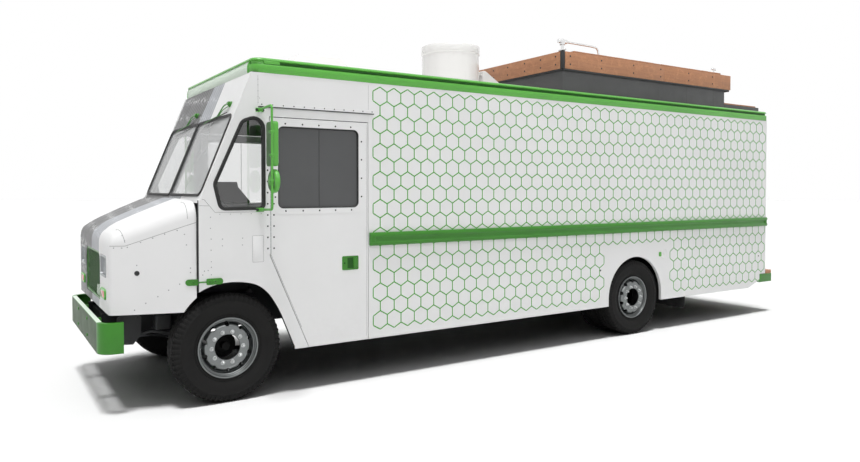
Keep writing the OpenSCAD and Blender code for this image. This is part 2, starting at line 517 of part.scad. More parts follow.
frame_rails();
frame_crossmembers();
frame_outriggers();
engine_block();
front_axle();
rear_axle();
driveshaft();
leaf_springs();
fuel_tank();
knuckle_left();
knuckle_right();
tie_rod();
wheel_front_left();
wheel_front_right();
wheels_rear_left();
wheels_rear_right();
tyre_front_left();
tyre_front_right();
tyres_rear_left();
tyres_rear_right();
front_bumper();
rear_bumper();
hood();
grille();
headlamps();
cab_front();
cab_glass();
cab_door_left();
cab_door_right();
door_glass_left();
door_glass_right();
dashboard();
driver_seat();
cab_partition();
floor();
left_wall();
right_wall();
rear_wall();
rear_door();
serving_hatch();
rub_rails();
roof();
roof_cap();
deck_base();
deck_skirt();
roof_fan();
roof_vents();
mirrors();
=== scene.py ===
import bpy, bmesh, math, json, random
from math import sin, cos, tan, pi, radians, sqrt, atan2, acos
from mathutils import Vector, Matrix
from mathutils.geometry import tessellate_polygon

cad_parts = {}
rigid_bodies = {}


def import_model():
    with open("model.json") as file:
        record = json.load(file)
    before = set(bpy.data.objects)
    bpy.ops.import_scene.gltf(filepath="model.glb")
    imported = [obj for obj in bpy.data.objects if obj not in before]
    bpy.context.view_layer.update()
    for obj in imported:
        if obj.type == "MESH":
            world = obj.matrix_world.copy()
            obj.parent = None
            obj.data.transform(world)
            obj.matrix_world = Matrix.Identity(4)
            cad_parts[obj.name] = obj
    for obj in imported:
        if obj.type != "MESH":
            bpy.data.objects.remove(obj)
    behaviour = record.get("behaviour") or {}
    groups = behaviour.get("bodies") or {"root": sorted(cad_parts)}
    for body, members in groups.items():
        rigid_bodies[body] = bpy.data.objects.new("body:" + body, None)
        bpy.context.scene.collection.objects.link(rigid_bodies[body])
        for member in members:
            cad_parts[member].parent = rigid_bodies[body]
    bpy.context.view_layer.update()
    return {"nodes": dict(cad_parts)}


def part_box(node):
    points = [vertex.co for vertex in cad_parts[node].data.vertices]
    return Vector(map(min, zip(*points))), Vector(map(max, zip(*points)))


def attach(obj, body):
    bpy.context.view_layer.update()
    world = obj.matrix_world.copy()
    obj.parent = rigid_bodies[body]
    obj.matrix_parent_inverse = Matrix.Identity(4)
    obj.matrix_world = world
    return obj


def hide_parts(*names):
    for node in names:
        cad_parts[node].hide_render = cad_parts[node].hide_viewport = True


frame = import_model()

_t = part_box("tyre_front_left")
_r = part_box("tyres_rear_left")
GX = (_t[0].x + _t[1].x) / 2             # front axle; every x below is measured from it
RT = _t[1].z / 2                         # tyre radius
WBX = (_r[0].x + _r[1].x) / 2 - GX       # rear axle
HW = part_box("left_wall")[1].y            # half width over the walls
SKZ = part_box("left_wall")[0].z           # bottom of the walls
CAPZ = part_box("roof_cap")[0].z           # underside of the roof rail
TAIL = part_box("left_wall")[0].x - GX     # rear wall
DX1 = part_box("cab_door_left")[0].x - GX  # rear edge of the cab door
DX0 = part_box("cab_door_left")[1].x - GX  # hinge edge of the cab door
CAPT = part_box("roof_cap")[1].z
RAKE = radians(21.9)
def ws_x(z): return 0.242 - (z - 1.825) * tan(RAKE)

# ------------------------------------------------------------------ mesh tools
class MB:
    """Collects closed shells, then makes one object."""
    def __init__(s): s.v, s.f, s.m = [], [], []
    def add(s, verts, faces, mi=0):
        o = len(s.v)
        s.v += [tuple(p) for p in verts]
        s.f += [tuple(i + o for i in f) for f in faces]
        s.m += [mi] * len(faces)
        return s
    def take(s, bm, mi=0):
        bm.verts.index_update()
        s.add([v.co.copy() for v in bm.verts], [[v.index for v in f.verts] for f in bm.faces], mi)
        bm.free()
    def mirror(s):
        """adds the mirror image about the centre line"""
        n = len(s.v)
        s.v += [(x, -y, z) for x, y, z in s.v[:n]]
        k = len(s.f)
        s.f += [tuple(i + n for i in reversed(f)) for f in s.f[:k]]
        s.m += s.m[:k]
        return s
    def make(s, name, mats, body, slot, sharp=32, bevel=0, seg=2, weighted=False, flip_y=False, recalc=True):
        me = bpy.data.meshes.new(name)
        v = [(x, -y, z) for x, y, z in s.v] if flip_y else s.v
        f = [tuple(reversed(q)) for q in s.f] if flip_y else s.f
        me.from_pydata(v, [], f)
        me.validate()
        for m in (mats if isinstance(mats, (list, tuple)) else [mats]): me.materials.append(m)
        if len(s.m) == len(me.polygons): me.polygons.foreach_set("material_index", s.m)
        me.transform(Matrix.Translation((GX, 0, 0)))
        if recalc:
            bm = bmesh.new(); bm.from_mesh(me)
            bmesh.ops.recalc_face_normals(bm, faces=bm.faces)
            bm.to_mesh(me); bm.free()
        me.shade_smooth()
        me.set_sharp_from_angle(angle=radians(sharp))
        o = bpy.data.objects.new(name, me)
        bpy.context.scene.collection.objects.link(o)
        if bevel:
            b = o.modifiers.new("edge", "BEVEL"); b.width = bevel; b.segments = seg; b.limit_method = "ANGLE"; b.angle_limit = radians(38); b.harden_normals = False
        if weighted or bevel:
            w = o.modifiers.new("flat", "WEIGHTED_NORMAL"); w.keep_sharp = True
        if bevel or weighted: bake(o, sharp)
        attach(o, body)
        return o

def bake(o, sharp=None):
    """replaces the mesh with what its modifiers give"""
    dg = bpy.context.evaluated_depsgraph_get()
    me = bpy.data.meshes.new_from_object(o.evaluated_get(dg))
    o.modifiers.clear(); old = o.data; o.data = me
    bpy.data.meshes.remove(old)

def V(*a): return Vector(a)

def box(mb, a, b, r=0.0, seg=2, mi=0, mat=None):
    a, b = Vector(a), Vector(b)
    bm = bmesh.new(); bmesh.ops.create_cube(bm, size=1)
    d = b - a
    bmesh.ops.scale(bm, vec=d, verts=bm.verts)
    if r: bmesh.ops.bevel(bm, geom=bm.edges[:], offset=min(r, min(abs(c) for c in d) * 0.49), segments=seg, profile=0.5, affect="EDGES")
    bmesh.ops.translate(bm, vec=(a + b) / 2, verts=bm.verts)
    if mat is not None: bmesh.ops.transform(bm, matrix=mat, verts=bm.verts)
    mb.take(bm, mi)

def lathe(mb, prof, c, axis=(0, 1, 0), segs=64, closed=True, mi=0, start=None):
    """prof: (radius, along). closed joins the last point to the first; open profiles start and end on the axis."""
    n = Vector(axis).normalized()
    e1 = Vector(start) if start else (V(1, 0, 0) if abs(n.x) < 0.9 else V(0, 0, 1))
    e1 = (e1 - n * e1.dot(n)).normalized(); e2 = n.cross(e1)
    c = Vector(c); vs, rings, fs = [], [], []
    for r, a in prof:
        if r < 1e-6: rings.append([len(vs)]); vs.append(c + n * a)
        else:
            rings.append(list(range(len(vs), len(vs) + segs)))
            for k in range(segs):
                t = 2 * pi * k / segs
                vs.append(c + n * a + (e1 * cos(t) + e2 * sin(t)) * r)
    m = len(prof)
    for i in range(m if closed else m - 1):
        A, B = rings[i], rings[(i + 1) % m]
        for k in range(segs):
            j = (k + 1) % segs
            if len(A) == 1 and len(B) == 1: break
            if len(A) == 1: fs.append((A[0], B[k], B[j]))
            elif len(B) == 1: fs.append((A[k], B[0], A[j]))
            else: fs.append((A[k], B[k], B[j], A[j]))
    mb.add(vs, fs, mi)

def tube(mb, pts, r, segs=10, closed=False, mi=0, flat=1.0):
    pts = [Vector(p) for p in pts]; n = len(pts)
    ts = []
    for i in range(n):
        a = pts[(i - 1) % n] if closed or i > 0 else pts[i]
        b = pts[(i + 1) % n] if closed or i < n - 1 else pts[i]
        ts.append((b - a).normalized())
    u = V(0, 0, 1) if abs(ts[0].z) < 0.9 else V(1, 0, 0)
    u = (u - ts[0] * u.dot(ts[0])).normalized(); vs, fs = [], []
    for i in range(n):
        u = (u - ts[i] * u.dot(ts[i])).normalized(); w = ts[i].cross(u)
        for k in range(segs):
            t = 2 * pi * k / segs
            vs.append(pts[i] + (u * cos(t) + w * sin(t) * flat) * r)
    for i in range(n if closed else n - 1):
        A, B = i * segs, ((i + 1) % n) * segs
        for k in range(segs):
            j = (k + 1) % segs
            fs.append((A + k, A + j, B + j, B + k))
    if not closed: fs += [tuple(range(segs - 1, -1, -1)), tuple(range((n - 1) * segs, n * segs))]
    mb.add(vs, fs, mi)

def bend(pts, r, n=6):
    """a polyline with its corners rounded"""
    pts = [Vector(p) for p in pts]; out = [pts[0]]
    for i in range(1, len(pts) - 1):
        a, b, c = pts[i - 1], pts[i], pts[i + 1]
        u, v = (a - b).normalized(), (c - b).normalized()
        d = min(r, (a - b).length * 0.49, (c - b).length * 0.49)
        p, q = b + u * d, b + v * d
        for k in range(n + 1):
            t = k / n
            out.append(p * (1 - t) ** 2 + b * 2 * t * (1 - t) + q * t * t)
    return out + [pts[-1]]

def rpts(pts, n=5):
    """outline with rounded corners from (u, v, radius)"""
    out = []; m = len(pts)
    for i in range(m):
        p, q, s = (Vector(pts[(i + k) % m][:2]) for k in (-1, 0, 1)); rad = pts[i][2]
        if rad < 1e-5: out.append((q.x, q.y)); continue
        u, v = (p - q).normalized(), (s - q).normalized()
        h = acos(max(-1, min(1, u.dot(v)))) / 2; d = rad / tan(h)
        c = q + (u + v).normalized() * rad / sin(h)
        a, b = q + u * d - c, q + v * d - c
        a0, a1 = atan2(a.y, a.x), atan2(b.y, b.x)
        while a1 - a0 > pi: a1 -= 2 * pi
        while a1 - a0 < -pi: a1 += 2 * pi
        for k in range(n + 1):
            t = a0 + (a1 - a0) * k / n
            out.append((c.x + rad * cos(t), c.y + rad * sin(t)))
    return out
def rrect(x0, z0, x1, z1, r, n=5): return rpts([(x0, z0, r), (x1, z0, r), (x1, z1, r), (x0, z1, r)], n)

def plate(mb, loops, f3, depth, mi=0, mi_side=None):
    """closed plate from an outline and its holes; f3 turns (u, v) into a point; depth is the vector to the other face"""
    d = Vector(depth); L = [[Vector(f3(*p)) for p in lp] for lp in loops]
    flat2 = [[Vector((p[0], p[1], 0)) for p in lp] for lp in loops]
    tris = tessellate_polygon(flat2)
    pts = [p for lp in L for p in lp]; n = len(pts)
    fs = [tuple(t) for t in tris] + [tuple(i + n for i in reversed(t)) for t in tris]
    mb.add(pts + [p + d for p in pts], fs, mi)
    k = len(mb.v) - 2 * n; o = 0; side = []
    for lp in L:
        m = len(lp)
        for i in range(m):
            j = (i + 1) % m
            side.append((k + o + i, k + o + j, k + n + o + j, k + n + o + i))
        o += m
    mb.f += side; mb.m += [mi if mi_side is None else mi_side] * len(side)

def sweep(mb, path, sect, n, closed=True, mi=0):
    """sect: (outward in the plane, along n), a closed outline; path lies in a plane with normal n"""
    path = [Vector(p) for p in path]; n = Vector(n).normalized(); m = len(path); k = len(sect); vs, fs = [], []
    for i in range(m):
        a = path[(i - 1) % m] if closed or i else None
        b = path[(i + 1) % m] if closed or i < m - 1 else None
        d1 = (path[i] - a).normalized() if a is not None else None
        d2 = (b - path[i]).normalized() if b is not None else None
        if d1 is None: d1 = d2
        if d2 is None: d2 = d1
        t = (d1 + d2).normalized(); s = t.cross(n).normalized()
        sc = 1 / max(0.3, s.dot(d1.cross(n).normalized()))
        for u, v in sect: vs.append(path[i] + s * (u * sc) + n * v)
    for i in range(m if closed else m - 1):
        A, B = i * k, ((i + 1) % m) * k
        for j in range(k): fs.append((A + j, A + (j + 1) % k, B + (j + 1) % k, B + j))
    if not closed: fs += [tuple(range(k - 1, -1, -1)), tuple(range((m - 1) * k, m * k))]
    mb.add(vs, fs, mi)

def dome(mb, p, n, r=0.006, h=0.0025, segs=8, mi=0, sink=0.001):
    n = Vector(n).normalized()
    lathe(mb, [(0, -sink), (r, -sink), (r, 0.0), (r * 0.75, h * 0.7), (0, h)], p, n, segs, closed=False, mi=mi)
def bolt(mb, p, n, r=0.012, h=0.009, mi=0):
    """hexagon head on a washer"""
    n = Vector(n).normalized()
    lathe(mb, [(0, -0.002), (r * 1.5, -0.002), (r * 1.5, 0.002), (0, 0.002)], p, n, 16, closed=False, mi=mi)
    lathe(mb, [(0, 0.001), (r, 0.001), (r, h * 0.85), (r * 0.86, h), (0, h)], p, n, 6, closed=False, mi=mi)
def rod(mb, a, b, r, segs=16, mi=0, ch=0.0):
    a, b = Vector(a), Vector(b); l = (b - a).length; c = min(ch, r * 0.5, l * 0.3)
    prof = [(0, 0), (r - c, 0)] + ([(r, c), (r, l - c)] if c else [(r, l)]) + ([(r - c, l)] if c else []) + [(0, l)]
    lathe(mb, prof, a, b - a, segs, closed=False, mi=mi)
def loft(mb, rings, mi=0):
    k = len(rings[0]); vs = [p for r in rings for p in r]; m = len(rings)
    fs = [tuple(range(k))] + [(i * k + j, (i + 1) * k + j, (i + 1) * k + (j + 1) % k, i * k + (j + 1) % k) for i in range(m - 1) for j in range(k)] + [tuple(reversed(range((m - 1) * k, m * k)))]
    mb.add(vs, fs, mi)

def cut(o, *tools):
    """takes the tools' shapes out of o, then removes them"""
    for t in tools:
        b = o.modifiers.new("cut", "BOOLEAN"); b.operation = "DIFFERENCE"; b.solver = "EXACT"; b.object = t
    bake(o)
    for t in tools: bpy.data.objects.remove(t)
def tool(mb, name="tool"):
    me = bpy.data.meshes.new(name); me.from_pydata(mb.v, [], mb.f)
    bm = bmesh.new(); bm.from_mesh(me); bmesh.ops.recalc_face_normals(bm, faces=bm.faces); bm.to_mesh(me); bm.free()
    me.transform(Matrix.Translation((GX, 0, 0)))
    o = bpy.data.objects.new(name, me); bpy.context.scene.collection.objects.link(o)
    return o

# ------------------------------------------------------------------ materials
def lin(h):
    c = [int(h[i:i + 2], 16) / 255 for i in (1, 3, 5)]
    return tuple(x / 12.92 if x <= 0.04045 else ((x + 0.055) / 1.055) ** 2.4 for x in c)
class NT:
    def __init__(s, name):
        s.m = bpy.data.materials.new(name); s.m.use_nodes = True; s.t = s.m.node_tree; s.t.nodes.clear()
        s.out = s.t.nodes.new("ShaderNodeOutputMaterial"); s.p = s.t.nodes.new("ShaderNodeBsdfPrincipled")
        s.t.links.new(s.p.outputs["BSDF"], s.out.inputs["Surface"])
    def n(s, kind, **k):
        x = s.t.nodes.new("ShaderNode" + kind)
        for a, b in k.items(): setattr(x, a, b)
        return x
    def link(s, a, b): s.t.links.new(a, b)
    def val(s, x, sock):
        if isinstance(x, (int, float)): sock.default_value = x
        elif isinstance(x, tuple): sock.default_value = x if len(x) == len(sock.default_value) else (*x, 1)
        else: s.link(x, sock)
    def obj(s): return s.n("TexCoord").outputs["Object"]
    def xyz(s):
        k = s.n("SeparateXYZ"); s.link(s.obj(), k.inputs[0]); return k.outputs
    def scaled(s, v):
        k = s.n("Mapping"); s.link(s.obj(), k.inputs["Vector"]); k.inputs["Scale"].default_value = v; return k.outputs[0]
    def noise(s, scale, detail=3, rough=0.5, vec=None, dist=0.0):
        k = s.n("TexNoise"); k.inputs["Scale"].default_value = scale; k.inputs["Detail"].default_value = detail
        k.inputs["Roughness"].default_value = rough; k.inputs["Distortion"].default_value = dist
        s.link(vec if vec is not None else s.obj(), k.inputs["Vector"]); return k.outputs["Fac"]
    def vor(s, scale, vec=None, feature="F1"):
        k = s.n("TexVoronoi"); k.feature = feature; k.inputs["Scale"].default_value = scale
        s.link(vec if vec is not None else s.obj(), k.inputs["Vector"]); return k.outputs["Distance"]
    def ramp(s, fac, stops, interp="LINEAR"):
        k = s.n("ValToRGB"); e = k.color_ramp; e.interpolation = interp
        while len(e.elements) < len(stops): e.elements.new(0.5)
        for el, (p, c) in zip(e.elements, stops): el.position = p; el.color = (*c, 1) if isinstance(c, tuple) else (c, c, c, 1)
        s.link(fac, k.inputs[0]); return k.outputs[0]
    def mix(s, fac, a, b):
        k = s.n("Mix"); k.data_type = "RGBA"
        s.val(fac, k.inputs[0]); s.val(a, k.inputs[6]); s.val(b, k.inputs[7]); return k.outputs[2]
    def math(s, op, a, b=None, c=None, clamp=False):
        k = s.n("Math"); k.operation = op; k.use_clamp = clamp
        s.val(a, k.inputs[0])
        if b is not None: s.val(b, k.inputs[1])
        if c is not None: s.val(c, k.inputs[2])
        return k.outputs[0]
    def map(s, x, a, b, c=0.0, d=1.0):
        k = s.n("MapRange"); k.clamp = True
        s.val(x, k.inputs[0])
        for i, v in zip((1, 2, 3, 4), (a, b, c, d)): s.val(v, k.inputs[i])
        return k.outputs[0]
    def bump(s, h, strength=0.2, dist=0.001, nrm=None):
        k = s.n("Bump"); k.inputs["Strength"].default_value = strength; k.inputs["Distance"].default_value = dist
        s.link(h, k.inputs["Height"])
        if nrm is not None: s.link(nrm, k.inputs["Normal"])
        return k.outputs[0]
    def set(s, **k):
        names = dict(col="Base Color", rough="Roughness", metal="Metallic", nrm="Normal", coat="Coat Weight", coat_r="Coat Roughness", ior="IOR", alpha="Alpha", trans="Transmission Weight", spec="Specular IOR Level", sheen="Sheen Weight", emit="Emission Color", emit_s="Emission Strength", sss="Subsurface Weight")
        for a, b in k.items(): s.val(b, s.p.inputs[names[a]])
        return s.m

def paint(name, col, rough=0.3, coat=0.5, dirt=0.06, peel=0.05, metal=0.0, low=True, spec=0.5):
    t = NT(name)
    z = t.xyz()[2]
    cloud = t.noise(1.3, 4, 0.6)
    fine = t.noise(22, 3, 0.6)
    dark = tuple(c * (1 - dirt) for c in col); dust = tuple(c * (1 - 2.2 * dirt) + 0.02 * dirt for c in col)
    c = t.mix(t.ramp(cloud, [(0.35, 0.0), (0.65, 1.0)]), dark, col)
    if low:
        grime = t.math("MULTIPLY", t.map(z, 0.95, 0.45, 0.0, 0.8), t.ramp(fine, [(0.35, 0.15), (0.75, 1.0)]))
        c = t.mix(grime, c, dust)
    r = t.ramp(t.noise(6, 4, 0.6), [(0.3, rough - 0.06), (0.7, rough + 0.08)])
    return t.set(col=c, rough=r, metal=metal, coat=coat, coat_r=0.06, spec=spec, nrm=t.bump(t.noise(160, 2, 0.5), peel, 0.0006))

WHITE = lin("#E6E6E6")
GREEN = lin("#55AE38")
M = {}
M["white"] = paint("paint_white", WHITE, 0.36, 0.25, 0.03)
M["green"] = paint("paint_green", GREEN, 0.34, 0.3, 0.10)
M["green2"] = paint("paint_green_deep", lin("#388222"), 0.34, 0.12, 0.10, spec=0.35)
# painted highlight: pale green for the light on the bumper's top lip and on the roof rail's front cover
M["green_pale"] = paint("paint_green_pale", lin("#D9E8D8"), 0.42, 0.1, 0.05, 0.0, low=False, spec=0.3)
# painted shade: a dull greyed green for the bumper's large forward faces
M["green_dull"] = paint("paint_green_bumper_shade_painted", lin("#4A5E45"), 0.50, 0.0, 0.08, spec=0.2)
M["vinyl"] = paint("vinyl_green", lin("#41A11F"), 0.45, 0.0, 0.05, 0.0, spec=0.2)
M["black"] = paint("chassis_black", lin("#242527"), 0.55, 0.0, 0.25, 0.25, spec=0.2)
M["black2"] = paint("chassis_black_gloss", lin("#1C1D1F"), 0.40, 0.08, 0.2, 0.15, spec=0.25)
M["roofw"] = paint("roof_white", lin("#E9E8E6"), 0.45, 0.0, 0.05, 0.08, low=False)

def rubber(name, col, rough=0.62, scale=240):
    t = NT(name)
    c = t.mix(t.ramp(t.noise(9, 4, 0.65), [(0.35, 0.0), (0.7, 1.0)]), col, tuple(x * 1.35 + 0.002 for x in col))
    return t.set(col=c, spec=0.25, rough=t.ramp(t.noise(30, 3), [(0.3, rough - 0.08), (0.7, rough + 0.1)]), nrm=t.bump(t.noise(scale, 3, 0.6), 0.25, 0.0006))
M["gasket"] = rubber("gasket_rubber", lin("#2C2C2C"), 0.5)
M["flap"] = rubber("mudflap_rubber", lin("#2A2A2A"), 0.6)

def tyre_mat():
    t = NT("tyre_rubber")
    base = lin("#1E1E1E")
    dust = t.ramp(t.noise(5, 5, 0.7), [(0.3, 0.0), (0.8, 1.0)])
    c = t.mix(t.math("MULTIPLY", dust, 0.45), base, lin("#292827"))
    return t.set(col=c, spec=0.10, rough=t.ramp(t.noise(40, 4, 0.6), [(0.3, 0.60), (0.7, 0.82)]), nrm=t.bump(t.noise(300, 3, 0.6), 0.3, 0.0005))
M["tyre"] = tyre_mat()

def metal(name, col, rough=0.3, metallic=1.0, streak=(4, 4, 4), dirt=0.25, bump=0.05, var=0.14):
    t = NT(name)
    s = t.noise(14, 4, 0.6, t.scaled(streak))
    c = t.mix(t.ramp(t.noise(6, 4, 0.6), [(0.3, 0.0), (0.75, 1.0)]), tuple(x * (1 - dirt) for x in col), col)
    return t.set(col=c, metal=metallic, rough=t.ramp(s, [(0.25, max(0.05, rough - var * 0.7)), (0.75, rough + var)]), nrm=t.bump(s, bump, 0.0004))
M["alu"] = metal("wheel_alloy", lin("#7B7E7E"), 0.34, 1.0, dirt=0.05, bump=0.0, var=0.02)
M["alu2"] = metal("wheel_alloy_dull", lin("#8C9092"), 0.38, 1.0)
M["chrome"] = metal("chrome", lin("#E8E8E8"), 0.1, 1.0, dirt=0.05, bump=0.01, var=0.05)
M["pit"] = paint("hub_black", lin("#0B0B0B"), 0.6, 0.0, 0.2, 0.2, spec=0.1)
M["steel"] = metal("steel_dark", lin("#55585A"), 0.45, 0.9)
M["cast"] = paint("engine_casting", lin("#5C5F63"), 0.6, 0.0, 0.35, 0.5)
M["drum"] = paint("brake_drum", lin("#0F0F0F"), 0.7, 0.0, 0.4, 0.5, spec=0.1)

def glass(name, col, alpha, rough=0.03):
    t = NT(name)
    dust = t.ramp(t.noise(7, 5, 0.7), [(0.4, rough), (0.8, rough + 0.035)])
    c = t.mix(t.ramp(t.noise(3, 3), [(0.3, 0.0), (0.7, 1.0)]), col, tuple(x * 0.94 for x in col))
    return t.set(col=c, rough=dust, alpha=alpha, ior=1.5, spec=0.5, nrm=t.bump(t.noise(2.2, 1), 0.02, 0.002))
    return m
# painted light: the windshield's light grey, part-opaque base stands in for the brightness seen on and through the pane
M["glass_ws"] = glass("glass_windshield", lin("#DDDFDF"), 0.46)
def clear_glass(name):
    t = NT(name)
    smear = t.ramp(t.noise(7, 5, 0.7), [(0.4, 0.0), (0.8, 0.02)])
    return t.set(col=t.mix(t.noise(3, 3), lin("#F4F6F5"), lin("#FDFDFD")), rough=smear, trans=1.0, ior=1.6, coat=0.25, coat_r=0.02)
M["glass_q"] = clear_glass("glass_quarter")
M["nut"] = metal("wheel_nut_steel", lin("#BFC1C1"), 0.30, 1.0, dirt=0.05, bump=0.0, var=0.03)
# painted shade: darker greyed green for the forward faces of the mirror heads
M["green_face"] = paint("paint_green_mirror_shade_painted", lin("#5C8055"), 0.45, 0.0, 0.06, spec=0.3)
# painted shade: nearly opaque dark grey glass, standing in for the dim inside seen through the pane
M["glass_dark"] = glass("glass_near_pane_painted_shade", lin("#535455"), 0.93, 0.06)
M["glass_far"] = glass("glass_far_door", lin("#C9CBCB"), 0.12)
M["lens_red"] = glass("lens_red", lin("#D8353A"), 0.97, 0.12)
M["lens_amber"] = glass("lens_amber", lin("#E08A24"), 0.97, 0.12)
M["lens_clear"] = glass("lens_clear", lin("#D9DEE0"), 0.55, 0.06)

def plastic(name, col, rough=0.55, grain=900):
    t = NT(name)
    c = t.mix(t.ramp(t.noise(4, 3), [(0.3, 0.0), (0.7, 1.0)]), col, tuple(x * 0.86 for x in col))
    return t.set(col=c, rough=t.ramp(t.noise(18, 3), [(0.3, rough - 0.06), (0.7, rough + 0.08)]), nrm=t.bump(t.vor(grain), 0.15, 0.0004))
M["dash"] = plastic("dash_plastic", lin("#4C4D50"), 0.6)
M["trim"] = plastic("black_plastic", lin("#1E1F20"), 0.45)
M["liner"] = paint("cab_lining_grey", lin("#545557"), 0.65, 0.0, 0.08, 0.1, low=False, spec=0.2)
M["alusheet"] = metal("interior_sheet", lin("#8F9193"), 0.42, 0.6, (1, 30, 1))

def vinyl_seat():
    t = NT("seat_vinyl")
    c = t.mix(t.ramp(t.noise(12, 4), [(0.3, 0.0), (0.7, 1.0)]), lin("#2B2C2E"), lin("#3A3B3D"))
    g = t.vor(420)
    return t.set(col=c, rough=t.ramp(t.noise(24, 3), [(0.3, 0.42), (0.7, 0.6)]), nrm=t.bump(g, 0.35, 0.0006), sheen=0.1)
M["seat"] = vinyl_seat()

def wood(name, a, b, along="x", ring=1.0):
    t = NT(name)
    sc = {"x": (2.2, 26, 26), "y": (26, 2.2, 26)}[along]
    v = t.scaled(sc)
    streak = t.noise(1.6, 6, 0.7, v, 0.6)
    blot = t.noise(9, 4, 0.7, None, 1.4)
    fleck = t.noise(34, 3, 0.6, t.scaled({"x": (1, 3, 3), "y": (3, 1, 3)}[along]), 0.8)
    c = t.mix(t.math("MULTIPLY", t.ramp(streak, [(0.3, 0.0), (0.72, 1.0)]), 0.8), a, b)
    c = t.mix(t.math("MULTIPLY", t.ramp(blot, [(0.5, 0.0), (0.75, 1.0)]), 0.55), c, tuple(x * 1.28 for x in b))
    c = t.mix(t.math("MULTIPLY", t.ramp(fleck, [(0.62, 0.0), (0.72, 1.0)]), 0.5), c, tuple(x * 0.5 for x in a))
    return t.set(col=c, rough=t.ramp(streak, [(0.3, 0.48), (0.7, 0.66)]), nrm=t.bump(t.math("ADD", streak, fleck), 0.35, 0.0012))
M["wood"] = wood("deck_timber", lin("#A26F50"), lin("#BF8962"))
M["wood_y"] = wood("deck_timber_cross", lin("#A26F50"), lin("#BF8962"), "y")
M["gusset"] = paint("gusset_grey", lin("#3C3D3E"), 0.5, 0.0, 0.15, 0.2, spec=0.3)
M["deckgrey"] = paint("deck_cladding", lin("#4A4A4B"), 0.55, 0.0, 0.10, 0.2, low=False)
M["felt"] = paint("black_strip", lin("#222324"), 0.6, 0.0, 0.1, 0.2, low=False)

def reflection_bands():
    """white panel paint with two broad bands of painted reflection down the front: a dark band patterned like weathered
    timber, then a pale grey one
    """
    t = NT("front_panels_painted_reflection")
    X, Y, Z = t.xyz()
    xf = t.math("SUBTRACT", X, GX)
    # place along the nose: 0 on the front face, 1 at the cowl, then up the header
    u = t.map(xf, 0.93, 0.30, 0.0, 1.0)
    head = t.math("GREATER_THAN", Z, 2.2)
    y1 = t.mix(head, t.map(u, 0.0, 1.0, -0.06, 0.02), t.map(Z, 2.6, 2.93, -0.03, 0.03))
    y2h = t.map(Z, 2.55, 2.9, 0.385, 0.39)
    y2 = t.mix(head, t.map(u, 0.0, 1.0, 0.39, 0.47), y2h)
    y2 = t.math("MULTIPLY", y2, 1.0)
    front = t.math("LESS_THAN", t.math("ABSOLUTE", Y), 1.1)
    cab = t.math("GREATER_THAN", xf, -0.30)
    ok = t.math("MULTIPLY", front, cab)
    # painted reflection: masks of the dark band and the pale band on the front faces
    dark = t.math("MULTIPLY", t.math("LESS_THAN", Y, y1), ok)
    pale = t.math("MULTIPLY", t.math("MULTIPLY", t.math("LESS_THAN", Y, y2), t.math("GREATER_THAN", Y, y1)), ok)
    # painted reflection in the bands: wavy upright lines with rows of pale flecks across them, like weathered boards
    S = t.math("SUBTRACT", Z, xf)
    wob = t.math("MULTIPLY", t.math("SUBTRACT", t.noise(1.0, 2, 0.5, t.scaled((3, 3, 3)), 0.0), 0.5), 0.9)
    ph = t.math("ADD", t.math("MULTIPLY", Y, 13.0), wob)
    lines = t.math("ADD", t.math("MULTIPLY", t.math("SINE", t.math("MULTIPLY", ph, 6.2832)), 0.5), 0.5)
    g2 = t.noise(1.0, 4, 0.7, t.scaled((10, 60, 10)), 0.0)
    k = t.math("ADD", t.math("MULTIPLY", lines, 0.7), t.math("MULTIPLY", g2, 0.45))
    rows = t.math("POWER", t.math("ADD", t.math("MULTIPLY", t.math("SINE", t.math("ADD", t.math("MULTIPLY", S, 24.0), t.math("MULTIPLY", Y, 3.0))), 0.5), 0.5), 3.0)
    spots = t.ramp(t.noise(1.0, 2, 0.6, t.scaled((30, 22, 30)), 0.0), [(0.50, 0.0), (0.60, 1.0)])
    fleck = t.math("MULTIPLY", t.math("MULTIPLY", rows, spots), 0.8)
    # colours of the painted reflection, laid over the white below
    reflected_dark_colour = t.mix(fleck, t.ramp(k, [(0.20, lin("#2A2A2B")), (0.85, lin("#6A6A6B"))]), lin("#C4C4C5"))
    reflected_pale_colour = t.mix(fleck, t.ramp(k, [(0.20, lin("#8D9096")), (0.85, lin("#A6A9AE"))]), lin("#C3C5CA"))
    cloud = t.ramp(t.noise(1.3, 4, 0.6), [(0.35, 0.0), (0.65, 1.0)])
    c = t.mix(cloud, tuple(x * 0.97 for x in WHITE), WHITE)
    c = t.mix(pale, c, reflected_pale_colour); c = t.mix(dark, c, reflected_dark_colour)
    return t.set(col=c, rough=t.ramp(t.noise(6, 4, 0.6), [(0.3, 0.34), (0.7, 0.46)]), coat=0.05, coat_r=0.08, spec=0.3, nrm=t.bump(t.noise(160, 2, 0.5), 0.05, 0.0006))
M["front"] = reflection_bands()

